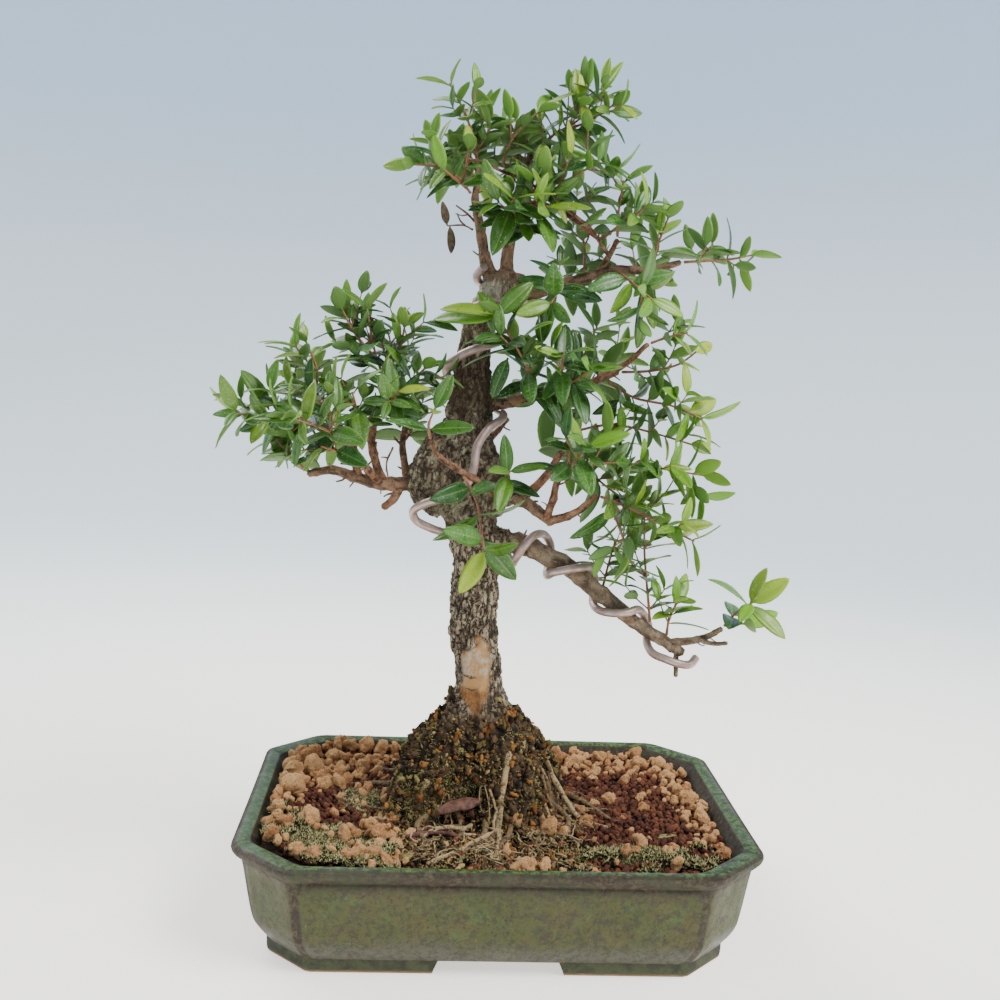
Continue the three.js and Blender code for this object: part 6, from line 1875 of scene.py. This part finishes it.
# One operator for each piece or group of pieces
class BONSAI_OT_stage(bpy.types.Operator):
    """Adds the camera, the pale floor and the soft light"""
    bl_idname = "bonsai.stage"
    bl_label = "Stage"

    def execute(self, context):
        s = context.scene.bonsai_stage
        camera = bpy.data.objects.new("Camera", bpy.data.cameras.new("Camera"))
        context.scene.collection.objects.link(camera)
        camera.data.lens, camera.data.sensor_width = s.lens, 36
        camera.data.clip_start, camera.data.clip_end = 0.01, 50
        down, right_of, roll = (math.radians(a) for a in CAMERA_TURNS)
        ahead = np.array([math.sin(right_of) * math.cos(down), math.cos(right_of) * math.cos(down),
                          -math.sin(down)])
        right = np.array([math.cos(right_of), -math.sin(right_of), 0])
        up = np.cross(right, ahead)
        columns = (math.cos(roll) * right + math.sin(roll) * up,
                   math.cos(roll) * up - math.sin(roll) * right, -ahead)
        matrix = Matrix.Identity(4)
        for k, column in enumerate(columns):
            for row in range(3):
                matrix[row][k] = column[row]
        for row in range(3):
            matrix[row][3] = CAMERA_PLACE[row] * MM
        camera.matrix_world = matrix
        context.scene.camera = camera
        mesh = bpy.data.meshes.new("Floor")
        sides = 72
        angles = np.linspace(0, math.pi / 2, 14)
        cove = [(FLAT_FLOOR + COVE * math.sin(a), COVE * (1 - math.cos(a))) for a in angles]
        rings = [(r * math.cos(2 * math.pi * k / sides), r * math.sin(2 * math.pi * k / sides), z)
                 for r, z in [(0.3, 0.0), *cove, (FLAT_FLOOR + COVE, WALL)] for k in range(sides)]
        quads = ring_faces(len(rings) // sides, sides)[:, ::-1].tolist()
        mesh.from_pydata([*rings, (0, 0, 0)], [], quads + fan(np.arange(sides), len(rings)).tolist())
        mesh.polygons.foreach_set("use_smooth", np.ones(len(mesh.polygons), bool))
        floor = bpy.data.objects.new("Floor", mesh)
        context.scene.collection.objects.link(floor)
        f = Finish("Floor", Roughness=1.0, Specular_IOR_Level=0.1, Emission_Strength=s.glow)
        x, y, z = f.axes()
        away = (x * x + y * y) ** 0.5
        tint = f.mix(s.floor, s.middle, f.band(away, 0.15, 0.8))
        tint = f.mix(tint, s.wall, f.band(z, 0.05, 0.85))
        lit = f.mix(s.floor, f.mix(s.middle, (0, 0, 0), 0.45), f.band(away, 0.2, 0.8))
        lit = f.mix(lit, f.mix(s.wall, (0, 0, 0), 0.7), f.band(z, 0.0, 0.6))
        f.put(f.shader.inputs["Emission Color"], f.mix(lit, (0, 0, 0), f.band(y, -0.15, -0.9) * 0.6))
        mesh.materials.append(f.done(tint))
        world = bpy.data.worlds.new("Soft sky")
        context.scene.world = world
        world.use_nodes = True
        nodes, links = world.node_tree.nodes, world.node_tree.links
        place = nodes.new("ShaderNodeTexCoord")
        parts = nodes.new("ShaderNodeSeparateXYZ")
        ramp = nodes.new("ShaderNodeValToRGB")
        ramp.color_ramp.elements[0].position, ramp.color_ramp.elements[0].color = 0.0, (*s.low, 1)
        ramp.color_ramp.elements[1].position, ramp.color_ramp.elements[1].color = 0.5, (*s.high, 1)
        links.new(place.outputs["Generated"], parts.inputs[0])
        links.new(parts.outputs[2], ramp.inputs[0])
        back = next(n for n in nodes if n.type == "BACKGROUND")
        links.new(ramp.outputs[0], back.inputs[0])
        back.inputs["Strength"].default_value = s.light
        for name, place_at, power, side in (("Soft box", (0.65, -0.4, 0.95), s.key, 0.6),
                                            ("Back box", (-0.5, 0.45, 0.8), s.key * 0.45, 0.6)):
            lamp = bpy.data.lights.new(name, "AREA")
            lamp.energy, lamp.size = power, side
            box = bpy.data.objects.new(name, lamp)
            context.scene.collection.objects.link(box)
            box.location = place_at
            box.rotation_euler = (Vector((0, 0, 0.15)) - box.location).to_track_quat("-Z", "Y").to_euler()
        return {"FINISHED"}


class BONSAI_OT_pot(bpy.types.Operator):
    """Makes the glazed pot with its corner feet"""
    bl_idname = "bonsai.pot"
    bl_label = "Pot"

    def execute(self, context):
        s = context.scene.bonsai_pot
        skin = Skin()
        add_pot_body(skin, s.corner / MM)
        for right in (-1, 1):
            for back in (-1, 1):
                add_foot(skin, right, back)
        skin.piece("glazed_pot", [glaze_finish(s), clay_finish(s)], ["pot"], 38)
        return {"FINISHED"}


class BONSAI_OT_drain_mesh(bpy.types.Operator):
    """Makes the two plastic grids over the drain holes"""
    bl_idname = "bonsai.drain_mesh"
    bl_label = "Drain mesh"

    def execute(self, context):
        f = Finish("Mesh plastic", Roughness=0.5)
        plastic = f.done(f.mix((0.012, 0.012, 0.012), (0.03, 0.03, 0.028), f.grain(700, 3, 0.6)))
        for side, name in ((-1, "drain_mesh_left"), (1, "drain_mesh_right")):
            skin = Skin()
            for k in range(11):
                run = (k / 10 - 0.5) * (MESH_SIDE - 1)
                for turn in (0, 1):
                    xs, ys = ((run - 0.5, run + 0.5), (-MESH_SIDE / 2, MESH_SIDE / 2))[::1 - 2 * turn]
                    z0 = FLOOR_TOP + GAP + 0.02 * turn
                    ring = [(xs[0], ys[0]), (xs[1], ys[0]), (xs[1], ys[1]), (xs[0], ys[1])]
                    levels = (z0, z0 + MESH_THICK - 0.04)
                    rings = [[(side * DRAIN_X + x, y, z) for x, y in ring] for z in levels]
                    skin.add(stacked(np.array(rings)))
            skin.piece(name + "_grid", [plastic], [name], 30)
        return {"FINISHED"}


class BONSAI_OT_soil(bpy.types.Operator):
    """Makes the soil bed and the loose granules on it"""
    bl_idname = "bonsai.soil"
    bl_label = "Soil"

    def execute(self, context):
        s = context.scene.bonsai_ground
        bed = Skin()
        bed.add(soil_bed())
        bed.piece("soil_bed", [earth_finish(s)], ["soil"])
        clay = granule_finish(s)
        sorts = (("large_granules", 2.2, 3, 5, 0.3), ("small_granules", 1.15, 2, 7, 0.15))
        for rows, (name, limit, steps, seed, sink) in zip(place_granules(s), sorts):
            skin = Skin()
            add_granules(skin, [row for row in rows if row[2] > limit], steps, seed, sink)
            add_granules(skin, [row for row in rows if row[2] <= limit], steps - 1, seed + 1, sink)
            skin.piece(name, [clay], ["soil"])
        return {"FINISHED"}


class BONSAI_OT_moss(bpy.types.Operator):
    """Makes the moss cushions, and the loose moss along the rim"""
    bl_idname = "bonsai.moss"
    bl_label = "Moss"

    def execute(self, context):
        finish = moss_finish(context.scene.bonsai_ground, False)
        for k, (name, patch) in enumerate(MOSS.items()):
            skin = Skin()
            skin.add(moss_cushion(patch, 3 + k), 0, tip=0.25, tone=0.5)
            add_tufts(skin, moss_spots(patch, 20 + k, 0.95), Draws(30 + k), 1.5, 0.24)
            skin.piece(name + "_cushion", [finish], [name])
        loose = Skin()
        add_tufts(loose, rim_moss(1500, Draws(36), -87, -36, -12), Draws(37), 2.0, 0.27)
        add_tufts(loose, rim_moss(450, Draws(38), 26, 80, -36), Draws(39), 2.0, 0.27)
        loose.piece("loose_moss", [finish])
        return {"FINISHED"}


class BONSAI_OT_trunk(bpy.types.Operator):
    """Makes the trunk with its swelling and root flare, and the crumbs and moss that cling to the roots"""
    bl_idname = "bonsai.trunk"
    bl_label = "Trunk"

    def execute(self, context):
        s = context.scene.bonsai_wood
        draw = Draws(77)
        shapes = [core()] + [burl_lobe(at, half, k) for k, (at, half) in enumerate(BURL)]
        shapes += [flare_strand(draw, 2 * math.pi * (k + 0.6 * draw()) / STRANDS) for k in range(STRANDS)]
        for points, start, end in LIMBS.values():
            if start > 2.4:
                line = smooth(points, 6)
                keep = line[:9]
                shapes.append(tube(keep, np.linspace(start * 1.25, start * 0.9, len(keep)), 14))
        points, faces, outward = remeshed(shapes, s.voxel)
        points, plate, flare, scar, rise = barked(points, outward)
        skin = Skin()
        skin.add((points, [faces]), 0, plate=plate, flare=flare, scar=scar, rise=rise)
        skin.piece("trunk_bark", [bark_finish(s)], ["trunk"])
        crumbs = Skin()
        draw = Draws(78)
        clear_of_scar = flare_places(points, outward, CRUMBS[0], draw, lambda p, pick: (
            p[2] < 75 or pick < 0.3 and not (abs(p[0] + 9.6) < 7.5 and p[1] < -3)))
        add_crumbs(crumbs, clear_of_scar, 79, 0.3, 1.8)
        add_crumbs(crumbs, ground_places(CRUMBS[1], draw, 0.85, 1.3), 80, 0.35, 1.3)
        add_crumbs(crumbs, net_places(CRUMBS[2], draw), 81, 0.4, 1.5)
        crumbs.piece("flare_crumbs", [crumb_finish(s)])
        moss = Skin()
        mound = flare_places(points, outward, TUFTS[0], draw, lambda p, pick: pick < (
            0.95 if p[0] < -4 and p[1] < -14 and p[2] < 56 else 0.12 if p[2] < 70 else 0.02))
        add_tufts(moss, mound, draw, 1.5, 0.23)
        add_tufts(moss, ground_places(TUFTS[1], draw, 0.95, 1.3), draw, 1.2, 0.2)
        add_tufts(moss, net_places(TUFTS[2], draw), draw, 1.4, 0.22)
        moss.piece("flare_moss", [moss_finish(context.scene.bonsai_ground, True)])
        return {"FINISHED"}


class BONSAI_OT_branches(bpy.types.Operator):
    """Makes the woody branches with their knots and dead ends"""
    bl_idname = "bonsai.branches"
    bl_label = "Branches"

    def execute(self, context):
        s = context.scene.bonsai_wood
        skin = Skin()
        draw = Draws(90)
        for k, (name, (points, start, end)) in enumerate(LIMBS.items()):
            old = 0.9 if name.startswith("wired") else 0.35 if start > 2.4 else 0.0
            line, radii = add_limb(skin, points, start, end, 14 if start > 2.4 else 10, old, 11 + k)
            limb_stubs(skin, line, radii, old, draw)
        for k, (points, start, end) in enumerate(BARE):
            line, radii = add_limb(skin, points, start, end, 8, 0.0, 70 + k)
            limb_stubs(skin, line, radii * 0.6, 0.0, draw)
        skin.piece("branches", [branch_finish(s)], ["trunk"])
        return {"FINISHED"}


class BONSAI_OT_roots(bpy.types.Operator):
    """Makes the surface roots and the fine net of roots in front"""
    bl_idname = "bonsai.roots"
    bl_label = "Roots"

    def execute(self, context):
        s = context.scene.bonsai_wood
        skin = Skin()
        draw = Draws(60)
        for k, (points, start, end) in enumerate(SURFACE_ROOTS):
            flat = smooth(points, 7)
            t = np.linspace(0, 1, len(flat))
            z = soil_height(flat[:, 0], flat[:, 1]) + 2.2 * (1 - t) + 0.35 * end
            line = np.column_stack([flat, z])
            line = line + 0.5 * drifted(line, 6, (80 + k, 83 + k, 86 + k))
            radii = (start + (end - start) * t) * 0.5 * (1 + 0.3 * rough(line, 3, k, 2))
            skin.add(tube(line, radii, 9), 0, tone=0.35)
        for points, start, end in PALE_ROOTS:
            line = smooth([(x, y, ground_height(x, y) + lift) for x, y, lift in points], 6)
            line = line + 0.7 * drifted(line, 5, (130, 133, 136))
            radii = np.linspace(start, end, len(line)) * (1 + 0.25 * rough(line, 3, 9, 2))
            skin.add(tube(line, radii, 9), 0, tone=0.8)
        for k in range(RUNNERS):
            add_root_strand(skin, draw, k < FRONT_RUNNERS)
        for _ in range(FINE_ROOTS):
            x, y = draw.between(-36, 30), draw.between(-56, -16)
            heading = math.atan2(y - FLARE[1], x - FLARE[0]) + draw.between(-2, 2)
            if on_flare(x, y, -5):
                continue
            line = wander(draw, (x, y), heading, draw.between(6, 20), 2.2, draw.between(0.2, 2.6))
            keep = [in_pot(p[0], p[1], 2) for p in line]
            line = line[:keep.index(False)] if False in keep else line
            if len(line) > 4:
                thick = draw.between(0.18, 0.48)
                radii = np.linspace(thick, thick * 0.5, 2 * len(line) - 1)
                skin.add(tube(smooth(line, 2), radii, 5), 0, tone=draw() ** 0.7)
        skin.piece("surface_roots", [root_finish(s)], ["trunk"])
        return {"FINISHED"}


class BONSAI_OT_wire(bpy.types.Operator):
    """Makes the training wire wound round the trunk and the low branch"""
    bl_idname = "bonsai.wire"
    bl_label = "Training wire"

    def execute(self, context):
        line = centripetal(settled_wire(listed_wood()), 6)
        skin = Skin()
        side, up = transport(line)
        outward = spokes(side, up, 16)
        rings = [line[0] + outward[0] * WIRE_RADIUS * 0.86, *(line[:, None, :] + outward * WIRE_RADIUS),
                 line[-1] + outward[-1] * WIRE_RADIUS * 0.86]
        rings[0] = rings[0] - unit(line[1] - line[0]) * 0.15
        rings[-1] = rings[-1] + unit(line[-1] - line[-2]) * 0.15
        skin.add(stacked(np.array(rings)))
        skin.piece("aluminium_wire", [wire_finish(context.scene.bonsai_wire)],
                   ["training_wire"], 40)
        return {"FINISHED"}


class BONSAI_OT_leaves(bpy.types.Operator):
    """Makes the leafy sprays, one piece for each"""
    bl_idname = "bonsai.leaves"
    bl_label = "Leaves"

    def execute(self, context):
        s = context.scene.bonsai_leaf
        crown = Crown()
        crown.build()
        twig, leaf = twig_finish(context.scene.bonsai_wood), leaf_finish(s)
        for k, (name, _, _) in enumerate(SPRAYS):
            skin = Skin()
            draw = Draws(900 + k)
            for j, (line, start, end) in enumerate(crown.twigs[name]):
                add_twig(skin, line, start, end, 7 * k + j)
            for row in crown.leaves[name]:
                add_blade(skin, row, draw, s.thickness / MM)
            skin.piece(name.replace("spray", "leaves"), [twig, leaf], [name])
        brown = dry_finish("Dead leaf", (0.13, 0.085, 0.040), (0.045, 0.030, 0.018))
        draw = Draws(870)
        for dead, name, finish in ((0, "stray_leaves", leaf), (1, "dead_leaves", brown)):
            skin = Skin()
            for row in STRAYS:
                if row[4] == dead:
                    add_stray(skin, row, draw, s.thickness / MM)
            skin.piece(name, [twig, finish])
        return {"FINISHED"}


class BONSAI_OT_litter(bpy.types.Operator):
    """Makes the dead stick, the sliver of bark and the two dry leaves that lie on the soil"""
    bl_idname = "bonsai.litter"
    bl_label = "Litter"

    def execute(self, context):
        skin = Skin()
        line = smooth([(x, y, ground_height(x, y) + lift) for x, y, lift in STICK], 6)
        radii = np.linspace(1.05, 0.7, len(line)) * (1 + 0.2 * rough(line, 2.5, 40, 2))
        skin.add(tube(line, radii, 9), 0, across=1.0)
        red = dry_finish("Dead stick", (0.16, 0.055, 0.036), (0.045, 0.016, 0.012))
        skin.piece("dead_stick", [red])
        skin = Skin()
        z = ground_height(-13.5, -29)
        rings = []
        for t in np.linspace(0, 1, 15):
            x, y = -22.5 + 16 * t, -34 + 5.5 * t
            wide = 2.7 * math.sin(math.pi * (0.12 + 0.76 * t)) * (1 + 0.12 * math.sin(11 * t))
            middle = np.array([x, y, z + 0.6 + 3.4 * t + 0.5 * math.sin(5 * t)])
            across = unit(np.array([-0.25, 0.75, 0.62]))
            up = np.array([0.1, -0.6, 0.8])
            rings.append([middle + across * wide * math.cos(a) + up * (0.5 * math.sin(a) - 0.5 * math.cos(a) ** 2)
                          for a in np.linspace(0, 2 * math.pi, 13)[:-1]])
        skin.add(stacked(np.array(rings)), 0, across=1.0)
        bark = dry_finish("Red bark", (0.15, 0.058, 0.032), (0.050, 0.020, 0.013))
        skin.piece("bark_sliver", [bark])
        skin = Skin()
        for base, tip in (((-34.5, -54.5), (-30.5, -46)), ((60, -30), (68, -25))):
            ends = [(x, y, ground_height(x, y) + lift) for (x, y), lift in ((base, 1.2), (tip, 2.6))]
            add_stray(skin, (*ends, (0.2, -0.35, 0.9), 0, 1), Draws(12), 0.3)
        olive = dry_finish("Dry leaf", (0.23, 0.19, 0.045), (0.12, 0.10, 0.025))
        skin.piece("dry_leaf", [olive, olive])
        return {"FINISHED"}


class BONSAI_PT_panel(bpy.types.Panel):
    """Lists the pieces of the bonsai and their settings"""
    bl_label = "Bonsai"
    bl_idname = "BONSAI_PT_panel"
    bl_space_type = "VIEW_3D"
    bl_region_type = "UI"
    bl_category = "Bonsai"

    def draw(self, context):
        for made in PIECES:
            self.layout.operator(made.bl_idname)
        for key, group in SETTINGS.items():
            box = self.layout.box()
            for name in group.__annotations__:
                box.prop(getattr(context.scene, key), name)


PIECES = (BONSAI_OT_stage, BONSAI_OT_pot, BONSAI_OT_drain_mesh, BONSAI_OT_soil, BONSAI_OT_moss, BONSAI_OT_trunk,
          BONSAI_OT_branches, BONSAI_OT_roots, BONSAI_OT_wire, BONSAI_OT_leaves, BONSAI_OT_litter)


def register():
    for made in (*SETTINGS.values(), *PIECES, BONSAI_PT_panel):
        bpy.utils.register_class(made)
    for key, group in SETTINGS.items():
        setattr(bpy.types.Scene, key, bpy.props.PointerProperty(type=group))


def unregister():
    for key in SETTINGS:
        delattr(bpy.types.Scene, key)
    for made in reversed((*SETTINGS.values(), *PIECES, BONSAI_PT_panel)):
        bpy.utils.unregister_class(made)


def main():
    register()
    for made in PIECES:
        group, name = made.bl_idname.split(".")
        getattr(getattr(bpy.ops, group), name)()
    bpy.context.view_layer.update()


if __name__ == "__main__":
    main()
